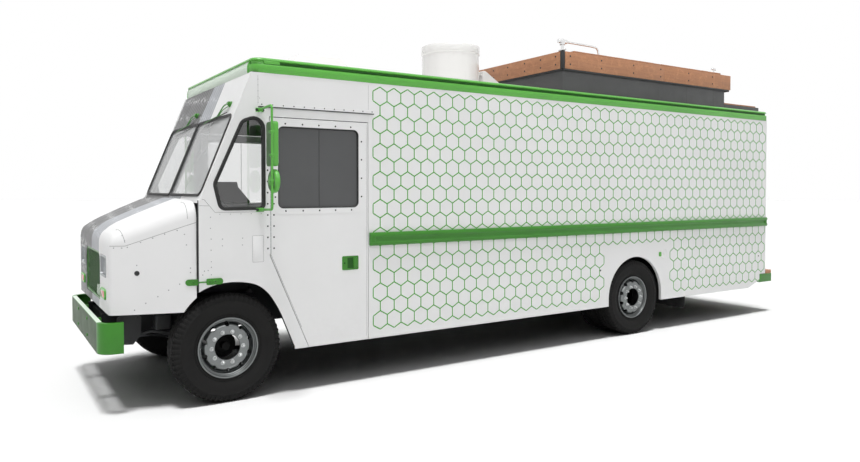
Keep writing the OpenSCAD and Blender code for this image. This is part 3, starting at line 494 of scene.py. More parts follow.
def give(node, mat):
    o = frame["nodes"][node]
    o.data.materials.clear(); o.data.materials.append(M[mat])
    for p in o.data.polygons: p.material_index = 0
for n, m in {"frame_rails": "black", "frame_crossmembers": "black", "frame_outriggers": "black", "engine_block": "cast", "front_axle": "black2", "rear_axle": "black2", "driveshaft": "steel",
             "leaf_springs": "black2", "fuel_tank": "steel", "knuckle_left": "drum", "knuckle_right": "drum", "tie_rod": "steel",
             "cab_door_left": "white", "cab_door_right": "white", "door_glass_left": "glass_dark", "door_glass_right": "glass_far",
             "cab_partition": "liner", "floor": "black", "left_wall": "white", "right_wall": "white", "rear_wall": "white", "rear_door": "white",
             "serving_hatch": "white", "roof": "roofw", "cab_glass": "glass_ws", "dashboard": "dash", "hood": "front", "grille": "green", "headlamps": "lens_clear",
             "cab_front": "front", "roof_cap": "green", "rub_rails": "green", "deck_base": "deckgrey", "deck_skirt": "wood", "roof_fan": "roofw", "roof_vents": "roofw",
             "mirrors": "green", "front_bumper": "green", "rear_bumper": "green", "driver_seat": "seat",
             "wheel_front_left": "alu", "wheel_front_right": "alu", "wheels_rear_left": "alu", "wheels_rear_right": "alu",
             "tyre_front_left": "tyre", "tyre_front_right": "tyre", "tyres_rear_left": "tyre", "tyres_rear_right": "tyre"}.items():
    give(n, m)

def soften(node, body, mats, width=0.003, seg=2, wide=None, wide_w=0.04, name=None, extra=None, level=None):
    """A copy of a CAD node with its edges broken, which stands for it. wide(edge middle, direction) picks edges for the broad radius."""
    src = frame["nodes"][node]
    me = src.data.copy(); o = bpy.data.objects.new(name or node + "_skin", me)
    bpy.context.scene.collection.objects.link(o)
    me.materials.clear()
    for m in (mats if isinstance(mats, (list, tuple)) else [mats]): me.materials.append(m)
    bm = bmesh.new(); bm.from_mesh(me)
    bmesh.ops.remove_doubles(bm, verts=bm.verts, dist=0.00005)
    if level:      # a seam through the openings, so that no flat face has a hole in it
        for e in bmesh.ops.bisect_plane(bm, geom=bm.verts[:] + bm.edges[:] + bm.faces[:], dist=1e-6, plane_co=(0, 0, level), plane_no=(0, 0, 1))["geom_cut"]:
            if isinstance(e, bmesh.types.BMEdge): e.seam = True
    bmesh.ops.dissolve_limit(bm, angle_limit=radians(0.6), verts=bm.verts, edges=bm.edges, delimit={"SEAM"})
    for f in bm.faces: f.material_index = 0; f.smooth = True
    if extra: extra(bm)
    if wide:
        lay = bm.edges.layers.float.new("bevel_weight_edge")
        for e in bm.edges:
            if len(e.link_faces) != 2 or e.calc_face_angle(0) < radians(30): continue
            a, b = e.verts[0].co, e.verts[1].co
            e[lay] = 1.0 if wide((a + b) / 2 - V(GX, 0, 0), (b - a).normalized()) else width / wide_w
    bm.to_mesh(me); bm.free()
    b = o.modifiers.new("edge", "BEVEL"); b.segments = 5 if wide else seg
    if wide: b.limit_method = "WEIGHT"; b.width = wide_w
    else: b.limit_method = "ANGLE"; b.angle_limit = radians(32); b.width = width
    b.use_clamp_overlap = True
    w = o.modifiers.new("flat", "WEIGHTED_NORMAL"); w.keep_sharp = True
    bake(o)
    o.data.shade_smooth(); o.data.set_sharp_from_angle(angle=radians(50))
    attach(o, body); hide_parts(node)
    return o

# ------------------------------------------------------------------ sheet-metal skins taken from the frame
_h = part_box("serving_hatch")
LEVEL = {"cab_door_left": 2.10, "cab_door_right": 2.10, "left_wall": 2.10, "right_wall": (_h[0].z + _h[1].z) / 2, "rear_wall": 2.00, "rear_door": 2.10, "cab_partition": 1.90}
for nd, bd, sl, mt, wd in (("cab_door_left", "door_left", "paint_white", "white", .003), ("cab_door_right", "door_right", "paint_white", "white", .003),
        ("left_wall", "root", "paint_white", "white", .002), ("right_wall", "root", "paint_white", "white", .002), ("rear_wall", "root", "paint_white", "white", .003),
        ("rear_door", "door_rear", "paint_white", "white", .003), ("serving_hatch", "hatch", "paint_white", "white", .003), ("dashboard", "root", "dash_grey", "dash", .012),
        ("cab_partition", "root", "interior_grey", "liner", .003), ("frame_rails", "root", "frame_black", "black", .004), ("frame_crossmembers", "root", "frame_black", "black", .003),
        ("frame_outriggers", "root", "frame_black", "black", .003), ("front_axle", "root", "frame_black", "black2", .006), ("rear_axle", "root", "frame_black", "black2", .006),
        ("engine_block", "root", "engine_grey", "cast", .008), ("fuel_tank", "root", "steel_dark", "steel", .01)):
    soften(nd, bd, M[mt], wd, level=LEVEL.get(nd))

# ------------------------------------------------------------------ cab front: raked face, rounded pillars
def pillar(p, d):
    return p.z > 1.79 and abs(p.y) > HW - 0.06 and p.x > -0.35 and abs(abs(d.z) - cos(RAKE)) < 0.06 and abs(p.x - ws_x(p.z)) < 0.03
def cab_parts(bm):
    """wheel housings black, inner faces lined grey"""
    for f in bm.faces:
        c = f.calc_center_median() - V(GX, 0, 0); n = f.normal
        if c.z < 1.13 and (abs(c.y) < HW - 0.012): f.material_index = 1
        elif c.z > 1.2 and c.x < ws_x(c.z) - 0.012 and abs(c.y) < HW - 0.015: f.material_index = 2
cab = soften("cab_front", "root", [M["front"], M["black"], M["liner"]], 0.0025, wide=pillar, wide_w=0.038, name="cab_shell", extra=cab_parts, level=2.10)
ARCH = [(.405, .844), (.330, .940), (.254, 1.008), (.130, 1.055), (0, 1.070), (-.130, 1.060), (-.246, 1.027), (-.335, .960), (-.400, .873), (-.477, .729), (-.600, .430)]
def curve(p, n=6):
    out = []
    for i in range(1, len(p) - 2):
        for k in range(n):
            t = k / n; out.append(tuple(0.5 * (2 * p[i][c] + (p[i + 1][c] - p[i - 1][c]) * t + (2 * p[i - 1][c] - 5 * p[i][c] + 4 * p[i + 1][c] - p[i + 2][c]) * t * t + (3 * p[i][c] - p[i - 1][c] - 3 * p[i + 1][c] + p[i + 2][c]) * t ** 3) for c in (0, 1)))
    return out + [p[-2]]
ta = MB(); plate(ta, [curve(ARCH) + [(-.470, .2), (.330, .2)]], lambda u, v: (u, -1.3, v), (0, 2.6, 0))
cut(cab, tool(ta))
for p in cab.data.polygons:
    c = p.center
    if c.z < 1.13 and abs(c.y) < HW - 0.012: p.material_index = 1
cab.data.shade_smooth(); cab.data.set_sharp_from_angle(angle=radians(50))
_w = cab.modifiers.new("flat", "WEIGHTED_NORMAL"); _w.keep_sharp = True; bake(cab)
def floor_parts(bm):
    for f in bm.faces:
        c = f.calc_center_median()
        if c.z < 1.05: f.material_index = 1
soften("floor", "root", [M["alusheet"], M["black"]], 0.003, extra=floor_parts)

# ------------------------------------------------------------------ hood
HB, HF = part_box("hood")[0].x - GX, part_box("hood")[1].x - GX
HZ0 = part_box("hood")[0].z
def hood_sec(x, d=0.0):
    """half width, top height, shoulder radius of the nose at x, taken in by d"""
    t = HF - x; L = HF - HB; u = max(0.0, min(1.0, t / L))
    w = 0.917 + 0.211 * u ** 0.85
    rc = 0.026
    if t < rc: w -= rc * (1 - sqrt(max(0, 1 - ((rc - t) / rc) ** 2)))
    zt = 1.527 + 0.272 * max(0.0, (t - 0.06) / (L - 0.06)) ** 0.88 if t > 0.06 else 1.527
    ra, rz = 0.085, 0.115
    if t < ra: zt -= rz * (1 - sqrt(max(0, 1 - ((ra - t) / ra) ** 2)))
    r = 0.12 + 0.02 * u
    if t < ra: r = max(0.05, 0.12 - 0.07 * (1 - t / ra))
    q = x - HB
    if q < 0.045: zt -= 0.024 * (1 - sqrt(max(0, 1 - ((0.045 - q) / 0.045) ** 2))); w -= 0.006 * (1 - sqrt(max(0, 1 - ((0.045 - q) / 0.045) ** 2)))
    return w - d, zt - d, max(0.02, r - d)
def hood_out(x, d=0.0, zb=None, n=10):
    w, zt, r = hood_sec(x, d)
    zb = HZ0 if zb is None else zb
    pts = [(-w, zb)] + [(-w + r - r * cos(k / n * pi / 2), zt - r + r * sin(k / n * pi / 2)) for k in range(n + 1)]
    m = 12
    top = [((-w + r) + (2 * (w - r)) * k / m, 0) for k in range(1, m)]
    cr = 0.018 * min(1, (HF - x) / 0.12)
    pts += [(y, zt + cr * (1 - (y / (w - r)) ** 2)) for y, _ in top]
    pts += [(w - r + r * sin(k / n * pi / 2), zt - r + r * cos(k / n * pi / 2)) for k in range(n + 1)] + [(w, zb)]
    return [V(x, y, z) for y, z in pts]
def hood_side(x, z, off=0.0):
    w, zt, r = hood_sec(x)
    y = w if z <= zt - r else w - r + sqrt(max(0, r * r - (z - zt + r) ** 2))
    return V(x, y + off, z)
def hood_nrm(x, z):
    a, b, c = hood_side(x, z), hood_side(x - 0.004, z), hood_side(x, z + 0.003)
    return (c - a).cross(b - a).normalized() * (1 if (c - a).cross(b - a).y > 0 else -1)
hx = [HF - 0.085 * (1 - cos(k / 9 * pi / 2)) for k in range(10)] + [HF - 0.085 - (HF - HB - 0.085) * k / 12 for k in range(1, 13)]
hx = sorted(set([round(x, 5) for x in hx] + [HF - 0.004, HF - 0.012, HF - 0.019, HF - 0.026] + [HB + 0.003, HB + 0.009, HB + 0.018, HB + 0.030, HB + 0.045]), reverse=True)
hm = MB(); loft(hm, [hood_out(x) for x in hx])
hood = hm.make("hood_skin", M["front"], "hood_lid", "paint_white", sharp=28)
t1 = MB(); loft(t1, [hood_out(x, 0.009, HZ0 - 0.05) for x in [HF - 0.009 - 0.085 * (1 - cos(k / 6 * pi / 2)) for k in range(7)] + [HF - 0.12 - (HF - HB - 0.12) * k / 8 for k in range(1, 8)] + [HB - 0.02]])
t2 = MB(); ARX, ARZ = -0.018, RT
plate(t2, [[(ARX + 0.470 * cos(pi * k / 30), 0.560 + 0.505 * sin(pi * k / 30)) for k in range(31)] + [(ARX - 0.470, 0.2), (ARX + 0.470, 0.2)]], lambda u, v: (u, -1.3, v), (0, 2.6, 0))
t3 = MB(); plate(t3, [rpts([(-0.440, 0.900, 0.012), (0.440, 0.900, 0.012), (0.440, 1.330, 0.085), (-0.440, 1.330, 0.085)], 6)], lambda u, v: (HF + 0.05, u, v), (-0.10, 0, 0))
t4 = MB()
for s in (1, -1): box(t4, (HF - 0.06, s * 0.642 - 0.148, 1.136), (HF + 0.05, s * 0.642 + 0.148, 1.316), 0.02)
cut(hood, tool(t1), tool(t2), tool(t3), tool(t4))
hood.data.shade_smooth(); hood.data.set_sharp_from_angle(angle=radians(28))
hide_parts("hood")

def ribbon(mb, pts, nrms, w, h=0.0005, sink=0.0006, mi=0):
    """a thin strip laid on a surface: pts with the surface's outward normals"""
    vs, fs = [], []; n = len(pts)
    for i in range(n):
        t = (pts[min(i + 1, n - 1)] - pts[max(i - 1, 0)]).normalized(); m = nrms[i].normalized(); s = t.cross(m).normalized() * w / 2
        a, b = pts[i] - m * sink, pts[i] + m * h
        vs += [a - s, a + s, b + s, b - s]
    for i in range(n - 1):
        A, B = 4 * i, 4 * i + 4
        for k in range(4): fs.append((A + k, A + (k + 1) % 4, B + (k + 1) % 4, B + k))
    fs += [(3, 2, 1, 0), tuple(4 * (n - 1) + k for k in range(4))]
    mb.add(vs, fs, mi)

# seams, rivets and the plug on the sides of the nose
M["seam"] = rubber("seam_shadow", lin("#8A8A8A"), 0.7)
M["rivet"] = metal("rivet_alloy", lin("#A9AAAB"), 0.4, 0.6)
sm = MB()
def side_line(pts, w=0.0035, n=14):
    P, N = [], []
    for (x0, z0), (x1, z1) in zip(pts, pts[1:]):
        for k in range(n if x1 == pts[-1][0] and z1 == pts[-1][1] else n - 1):
            t = k / (n - 1); x, z = x0 + (x1 - x0) * t, z0 + (z1 - z0) * t
            P.append(hood_side(x, z)); N.append(hood_nrm(x, z))
    ribbon(sm, P, N, w)
side_line([(0.9385, 1.412), (0.819, 1.411), (0.37, 1.570), (HB + 0.004, 1.600)], 0.004)
def shoulder(x0, z0, x1, y1, w=0.004, n=12):
    """a seam from the side seam over the shoulder to the top"""
    P, N = [], []
    for k in range(n + 1):
        t = k / n; x = x0 + (x1 - x0) * t
        hw_, zt, r = hood_sec(x)
        a = max(0.0, min(1.0, (z0 - zt + r) / r)); a0 = math.asin(a); a1 = math.asin(min(1.0, max(0.0, 1 - (hw_ - y1 - 0) / r if False else 1.0)))
        if t < 0.85:
            ang = a0 + (pi / 2 - a0) * (t / 0.85)
            p = V(x, hw_ - r + r * cos(ang), zt - r + r * sin(ang)); nn = V(0.0, cos(ang), sin(ang))
        else:
            yy = (hw_ - r) + (y1 - (hw_ - r)) * (t - 0.85) / 0.15
            p = V(x, yy, zt + 0.018 * (1 - (yy / (hw_ - r)) ** 2) + 0.0004); nn = V(0.2, 0, 1)
        P.append(p); N.append(nn)
    ribbon(sm, P, N, w, 0.0009, 0.0015)
shoulder(0.819, 1.411, 0.862, 0.80)
shoulder(HB + 0.070, 1.597, HB + 0.075, 0.90)
o = sm.mirror().make("hood_seams", M["seam"], "hood_lid", "paint_white")
rv = MB()
for x, z in ((.836, 1.499), (.821, 1.455), (.802, 1.400), (.902, 1.396), (.843, 1.395), (.704, 1.439), (.613, 1.473), (.522, 1.505), (.426, 1.535), (.370, 1.50), (.355, 1.41), (.734, 1.247), (.41, 1.076), (.495, 1.028), (.578, .977), (.669, .925), (.753, .871), (.325, 1.21), (.325, 1.172)):
    dome(rv, hood_side(x, z), hood_nrm(x, z), 0.0055, 0.002)
rv.mirror().make("hood_rivets", M["rivet"], "hood_lid", "wheel_metal")
pg = MB(); p = hood_side(.733, 1.18); lathe(pg, [(0, -.003), (.019, -.003), (.021, 0), (.0195, .0025), (.013, .004), (.0115, .0015), (0, .0015)], p, hood_nrm(.733, 1.18), 24, closed=False)
pg.mirror().make("hood_plugs", M["trim"], "hood_lid", "seat_black")

# mesh of the grille: interlocking hexagonal expanded metal, in a frame, with a black radiator behind
gm = MB()
GY, GZ0, GZ1 = 0.424, 0.916, 1.314
cw, ch = 0.0848, 0.030
def strip2(mb, a, b, h, x0, x1):
    a, b = Vector(a), Vector(b); d = (b - a).normalized(); n = V(-d.y, d.x, 0)
    q = [a - n * h, b - n * h, b + n * h, a + n * h]
    vs = [V(x0, p.x, p.y) for p in q] + [V(x1, p.x, p.y) for p in q]
    mb.add(vs, [(0, 1, 2, 3), (7, 6, 5, 4)] + [(i, i + 4, (i + 1) % 4 + 4, (i + 1) % 4) for i in range(4)])
rows = int((GZ1 - GZ0) / (ch / 2)) + 1
for i in range(rows):
    z = GZ0 + i * ch / 2
    y = -GY + (cw / 2 if i % 2 else 0)
    while y < GY - 0.001:
        za = min(z + ch / 2, GZ1)
        for sgn in (1, -1):
            y2 = y + sgn * cw / 2
            if -GY - 1e-4 <= y2 <= GY + 1e-4 and za > z: strip2(gm, (y, z, 0), (y2, za, 0), 0.0015, 0.9318, 0.9330)
        y += cw
fr = [V(0.9355, *p) for p in rpts([(-0.436, 0.904, 0.014), (0.436, 0.904, 0.014), (0.436, 1.326, 0.083), (-0.436, 1.326, 0.083)], 6)]
sweep(gm, fr, [(0.0, 0.0), (0.0, -0.012), (-0.014, -0.012), (-0.014, 0.0)], (1, 0, 0))
g = gm.make("grille_mesh", M["green2"], "hood_lid", "paint_green", sharp=30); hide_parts("grille")
t = NT("radiator_core"); zz = t.xyz()
core = t.math("ABSOLUTE", t.math("SINE", t.math("MULTIPLY", zz[1], 1400.0)))
M["radiator"] = t.set(col=t.mix(core, lin("#030303"), lin("#080808")), rough=0.9, spec=0.0, nrm=t.bump(core, 0.5, 0.002))
rb = MB(); box(rb, (0.900, -0.436, 0.9045), (0.915, 0.436, 1.3255), 0.004)
# painted light: a white plate behind the lower grille corner stands in for the bright floor seen through it
du = MB(); plate(du, [rpts([(0.10, 0.912, 0.01), (0.416, 0.912, 0.01), (0.416, 1.036, 0.012), (0.12, 1.006, 0.03)], 4)], lambda u, v: (0.921, u, v), (-0.005, 0, 0))
du.make("air_duct_flap", M["white"], "hood_lid", "paint_white", sharp=30)
rb.make("radiator", M["radiator"], "hood_lid", "frame_black")

# lamps: bezel, reflector box, ribbed lens; signals below in green housings
M["bezel"] = metal("bezel_grey", lin("#A7AAAC"), 0.35, 0.85)
lm, ls, hs, rl = MB(), MB(), MB(), MB()
for s in (1, -1):
    yc = s * 0.642
    R3 = lambda u, v, x: V(x, u, v)
    for (x0, x1, a, b, k) in ((HF - 0.004, HF + 0.0045, 0.146, 0.094, 0.018), ):
        plate(lm, [rrect(yc - a, 1.226 - b, yc + a, 1.226 + b, k), rrect(yc - a + 0.022, 1.226 - b + 0.018, yc + a - 0.022, 1.226 + b - 0.018, 0.014)], lambda u, v: (x1, u, v), (x0 - x1, 0, 0))
    # reflector box walls and back
    ring = [V(HF - 0.004, *p) for p in rrect(yc - 0.124, 1.150, yc + 0.124, 1.302, 0.014)]
    sweep(lm, ring, [(0.0, 0.004), (0.004, 0.004), (0.0, -0.045), (-0.006, -0.045)], (1, 0, 0))
    box(lm, (HF - 0.058, yc - 0.125, 1.149), (HF - 0.050, yc + 0.125, 1.303), 0.003)
    lathe(lm, [(0, -0.002), (0.05, -0.002), (0.060, 0.012), (0.056, 0.012), (0.040, 0.002), (0, 0.000)], (HF - 0.048, yc - s * 0.045, 1.226), (1, 0, 0), 32, closed=False)
    lathe(ls, [(0, 0.0), (0.020, 0.0), (0.023, 0.008), (0.012, 0.014), (0, 0.016)], (HF - 0.046, yc + s * 0.066, 1.226), (1, 0, 0), 24, closed=False)
    plate(ls, [rrect(yc - 0.1235, 1.1505, yc + 0.1235, 1.3015, 0.013)], lambda u, v: (HF - 0.012, u, v), (-0.004, 0, 0))
    for k in range(11):
        y = yc - 0.1 + 0.02 * k; box(ls, (HF - 0.0155, y - 0.002, 1.156), (HF - 0.0105, y + 0.002, 1.296), 0.001)
    yc = s * 0.660
    plate(hs, [rrect(yc - 0.118, 0.942, yc + 0.118, 1.032, 0.02)], lambda u, v: (HF - 0.002, u, v), (0.010, 0, 0))
    sweep(hs, [V(HF + 0.008, *p) for p in rrect(yc - 0.112, 0.948, yc + 0.112, 1.026, 0.017)], [(-0.012, 0.0), (-0.010, 0.006), (0.0, 0.006), (0.003, 0.0)], (1, 0, 0))
    box(rl, (HF + 0.004, yc - 0.100, 0.958), (HF + 0.0135, yc + 0.100, 1.016), 0.008, 3)
lo = lm.make("headlamp_bezels", M["bezel"], "hood_lid", "lamp", sharp=30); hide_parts("headlamps")
ls.make("headlamp_lenses", M["lens_clear"], "hood_lid", "lamp", sharp=30)
hs.make("signal_housings", M["green"], "hood_lid", "paint_green", sharp=30)
rl.make("signal_lenses", M["lens_red"], "hood_lid", "lamp", sharp=40)

# ------------------------------------------------------------------ front bumper
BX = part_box("front_bumper")[1].x - GX; BZ0, BZ1 = 0.518, 0.776
bm_ = MB()
path = rpts([(0.838, -0.990, 0), (BX, -0.990, 0.130), (BX, 0.990, 0.130), (0.838, 0.990, 0)], 12)
path = [V(x, y, 0) for x, y in path]
th = 0.007
lip = [(0, BZ0), (0.0, BZ1 - 0.006), (-0.002, BZ1 - 0.001), (-0.006, BZ1), (-0.040, BZ1), (-0.042, BZ1 - 0.004), (-0.042, BZ1 - 0.008), (-0.040, BZ1 - th), (-th, BZ1 - th), (-th, BZ0 + th), (-0.040, BZ0 + th), (-0.042, BZ0 + 0.004), (-0.040, BZ0), (-0.004, BZ0)]
sweep(bm_, path, lip, (0, 0, 1), closed=False)
for y, z in ((-.34, .724), (.286, .725), (-.355, .569), (.293, .574)): bolt(bm_, (BX, y, z), (1, 0, 0), 0.013, 0.009)
for y, z in ((-.82, .60), (.80, .60), (0.6, .70), (-.6, .70)): dome(bm_, (BX, y, z), (1, 0, 0), 0.006, 0.002)
for s in (1, -1): box(bm_, (0.930, s * 0.412 - 0.020, 0.592), (BX - th + 0.001, s * 0.412 + 0.020, 0.738), 0.004)
fb = bm_.make("bumper_front", [M["green2"], M["green_dull"], M["green_pale"]], "root", "paint_green", sharp=40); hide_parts("front_bumper")
# painted shade on the large forward faces, painted highlight on the top of the lip
for p in fb.data.polygons:
    if p.normal.x > 0.9 and p.area > 0.01: p.material_index = 1
    elif p.normal.z > 0.6 and p.center.z > BZ1 - 0.02 and abs(p.center.y) < 0.9 and p.area > 0.003: p.material_index = 2

# ------------------------------------------------------------------ wheels and tyres
YF = (_t[0].y + _t[1].y) / 2; TW = (_t[1].y - _t[0].y) / 2
def tyre_mesh(name):
    P = 64; ang = []
    for i in range(P):
        for q in (0.0, 0.40, 0.47, 0.93): ang.append(2 * pi * (i + q) / P)
    R = RT; W = TW - 0.0005
    half = [(0.262, 0.092, 0), (0.272, 0.104, 0), (0.290, 0.108, 0), (0.2935, 0.1125, 0), (0.2975, 0.1085, 0), (0.330, 0.1225, 0), (0.370, W, 0), (0.410, W - 0.0010, 0), (0.4135, W, 0), (0.417, W - 0.0025, 0), (0.440, 0.1265, 1), (0.457, 0.1230, 1), (0.4685, 0.1170, 2), (0.4765, 0.1040, 2), (R - 0.0030, 0.0850, 2), (R - 0.0022, 0.0780, 0), (R - 0.0130, 0.0755, 0), (R - 0.0130, 0.0685, 0), (R - 0.0012, 0.0660, 0), (R - 0.0006, 0.0500, 3), (R - 0.0004, 0.0290, 3), (R - 0.0125, 0.0270, 0), (R - 0.0125, 0.0200, 0), (R, 0.0180, 0), (R, 0.0060, 0)]
    prof = half + [(r, -a, k) for r, a, k in reversed(half)] + [(0.262, -0.080, 0), (0.290, -0.098, 0), (0.370, -0.118, 0), (0.440, -0.108, 0), (0.456, -0.085, 0), (0.458, 0.0, 0), (0.456, 0.085, 0), (0.440, 0.108, 0), (0.370, 0.118, 0), (0.290, 0.098, 0), (0.262, 0.080, 0)]
    vs = []; m = len(prof); n = len(ang)
    for i, t in enumerate(ang):
        low = i % 4 >= 2
        for r, a, k in prof:
            d = 0.0
            if low and k == 2: d = 0.0095
            if low and k == 1: d = 0.0050
            if k == 3 and (i % 4) >= 2 and i % 8 >= 4: d = 0.004
            vs.append(((r - d) * cos(t), a - (0.0045 if (low and k == 1) else 0) * (1 if a > 0 else -1), (r - d) * sin(t)))
    fs = []
    for i in range(n):
        j = (i + 1) % n
        for k in range(m):
            l = (k + 1) % m
            fs.append((i * m + k, j * m + k, j * m + l, i * m + l))
    me = bpy.data.meshes.new(name); me.from_pydata(vs, [], fs)
    bm = bmesh.new(); bm.from_mesh(me); bmesh.ops.recalc_face_normals(bm, faces=bm.faces); bm.to_mesh(me); bm.free()
    me.shade_smooth(); me.set_sharp_from_angle(angle=radians(30)); me.materials.append(M["tyre"])
    return me
def at(me, name, x, y, body, flip=False, turn=0.0):
    """a copy of a wheel mesh in its place; flip turns it to the other side"""
    m2 = me.copy()
    mat = Matrix.Translation((GX + x, y, RT)) @ (Matrix.Rotation(pi, 4, "Z") if flip else Matrix.Identity(4)) @ Matrix.Rotation(turn, 4, "Y")
    m2.transform(mat)
    o = bpy.data.objects.new(name, m2); bpy.context.scene.collection.objects.link(o)
    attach(o, body); return o
TM = tyre_mesh("tyre_tread")
YO, YI = 1.0175, 0.7175
sides = (("left", 1, False), ("right", -1, True))
for sd, s, fl in sides:
    o = at(TM, "tyre_front_" + sd + "_rubber", 0, s * YF, "front_wheel_" + sd, fl, 0.03 * (s + 1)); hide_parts("tyre_front_" + sd)
    o = at(TM, "tyre_rear_outer_" + sd, WBX, s * YO, "rear_wheels_" + sd, fl, 0.05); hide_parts("tyres_rear_" + sd)
    at(TM, "tyre_rear_inner_" + sd, WBX, s * YI, "rear_wheels_" + sd, fl, 0.02)

def wheel_mesh(name, deep, bold=False):
    """steel or alloy disc wheel, outer side towards +y; deep puts the disc at the inner side"""
    mb = MB()
    rim = [(.2700, .1080), (.2680, .1135), (.2620, .1150), (.2560, .1130), (.2525, .1070), (.2500, .0980), (.2455, .0940), (.2425, .0800), (.2360, .0760), (.2335, .0600), (.2325, .0200), (.2325, -.0200), (.2335, -.0600), (.2360, -.0760), (.2425, -.0800), (.2455, -.0940), (.2500, -.0980), (.2525, -.1070), (.2560, -.1130), (.2620, -.1150), (.2680, -.1135), (.2700, -.1080),
           (.2640, -.1040), (.2600, -.0960), (.2560, -.0880), (.2520, -.0850), (.2500, -.0700), (.2420, -.0640), (.2400, 0), (.2420, .0640), (.2500, .0700), (.2520, .0850), (.2560, .0880), (.2600, .0960), (.2640, .1040)]
    lathe(mb, rim, (0, 0, 0), (0, 1, 0), 96)
    k, b = (-1, -0.004) if deep else (1, 0.0)
    F = 0.112 if bold else 0.0825      # plane the nuts sit on
    disc = [(.2350, .0340), (.2300, .0400), (.2230, .0420), (.2150, F - .0305), (.2060, F - .0125), (.1990, F - .0045), (.1900, F - .0005), (.1840, F), (.1815, F - .0015), (.1785, F), (.1165, F), (.1140, F - .0020), (.1140, F - .0160), (.1840, F - .0160), (.1930, F - .0205), (.2010, F - .0345), (.2110, .0280), (.2200, .0200), (.2350, .0180)]
    if deep: disc = [(r, -a + b) for r, a in disc]
    dm = MB(); lathe(dm, disc, (0, 0, 0), (0, 1, 0), 96)
    me = bpy.data.meshes.new("disc"); me.from_pydata(dm.v, [], dm.f)
    bmx = bmesh.new(); bmx.from_mesh(me); bmesh.ops.recalc_face_normals(bmx, faces=bmx.faces); bmx.to_mesh(me); bmx.free()
    od = bpy.data.objects.new("disc", me); bpy.context.scene.collection.objects.link(od)
    hm_ = MB()
    for i in range(10):
        t = 2 * pi * (i + 0.5) / 10
        lathe(hm_, [(0, -.13), (.0225, -.13), (.0225, .13), (0, .13)], (.2080 * cos(t), 0, .2080 * sin(t)), (0, 1, 0), 20, closed=False)
    me2 = bpy.data.meshes.new("holes"); me2.from_pydata(hm_.v, [], hm_.f)
    bmx = bmesh.new(); bmx.from_mesh(me2); bmesh.ops.recalc_face_normals(bmx, faces=bmx.faces); bmx.to_mesh(me2); bmx.free()
    oh = bpy.data.objects.new("holes", me2); bpy.context.scene.collection.objects.link(oh)
    cut(od, oh)
    mb.add([v.co for v in od.data.vertices], [tuple(p.vertices) for p in od.data.polygons]); bpy.data.objects.remove(od)
    # lug nuts with flange, cap and stud
    face = (-.0705 if deep else F)
    for i in range(10):
        t = 2 * pi * i / 10; c = V(.1400 * cos(t), face, .1400 * sin(t))
        lathe(mb, [(0, -.001), (.0190, -.001), (.0190, .0030), (.0165, .0045), (0, .0045)], c, (0, 1, 0), 20, closed=False, mi=1)
        lathe(mb, [(0, .0030), (.0150, .0030), (.0150, .0190), (.0128, .0215), (0, .0215)], c, (0, 1, 0), 6, closed=False, mi=1, start=(cos(t), 0, sin(t)))
        lathe(mb, [(0, .0200), (.0092, .0200), (.0092, .0300), (.0070, .0325), (0, .0330)], c, (0, 1, 0), 16, closed=False, mi=1)
    # hub seen through the bore
    if deep: hub = [(0, -.120), (.1080, -.120), (.1080, -.060), (.1040, -.056), (.0950, -.054), (.0900, -.030), (.0860, -.012), (.0800, -.004), (.0300, .000), (0, .000)]
    else: hub = [(0, -.020), (.1060, -.020), (.1060, .052), (.1000, .058), (.0700, .060), (.0660, .090), (.0600, .100), (.0200, .104), (0, .104)]
    if deep: lathe(mb, hub, (0, 0, 0), (0, 1, 0), 48, closed=False, mi=2)
    else: lathe(mb, [(0, -.060), (.1130, -.060), (.1130, -.052), (.1080, -.050), (.0760, -.050), (.0700, -.046), (.0640, -.044), (0, -.044)], (0, 0, 0), (0, 1, 0), 48, closed=False, mi=2)
    if deep:
        for i in range(8):
            t = 2 * pi * i / 8; lathe(mb, [(0, -.001), (.0085, -.001), (.0085, .006), (.0070, .008), (0, .008)], (.062 * cos(t), .000, .062 * sin(t)), (0, 1, 0), 6, closed=False, mi=2)
    # valve
    tube(mb, bend([(.222, (-.03 if deep else .044), .012), (.236, (-.01 if deep else .070), .012), (.240, (.03 if deep else .094), .012)], .01), .0035, 8, mi=1)
    me = bpy.data.meshes.new(name); me.from_pydata(mb.v, [], mb.f)
    for m in (M["alu"], M["nut"], M["pit"]): me.materials.append(m)
    me.polygons.foreach_set("material_index", mb.m)
    bmx = bmesh.new(); bmx.from_mesh(me); bmesh.ops.recalc_face_normals(bmx, faces=bmx.faces); bmx.to_mesh(me); bmx.free()
    me.shade_smooth(); me.set_sharp_from_angle(angle=radians(32)); return me
WF, WR = wheel_mesh("wheel_front", False), wheel_mesh("wheel_rear", False, True)
for sd, s, fl in sides:
    o = at(WF, "wheel_front_" + sd + "_disc", 0, s * YF, "front_wheel_" + sd, fl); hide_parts("wheel_front_" + sd)
    o = at(WR, "wheel_rear_outer_" + sd, WBX, s * YO, "rear_wheels_" + sd, fl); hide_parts("wheels_rear_" + sd)
    at(WF, "wheel_rear_inner_" + sd, WBX, s * (YI), "rear_wheels_" + sd, fl, 0.3)

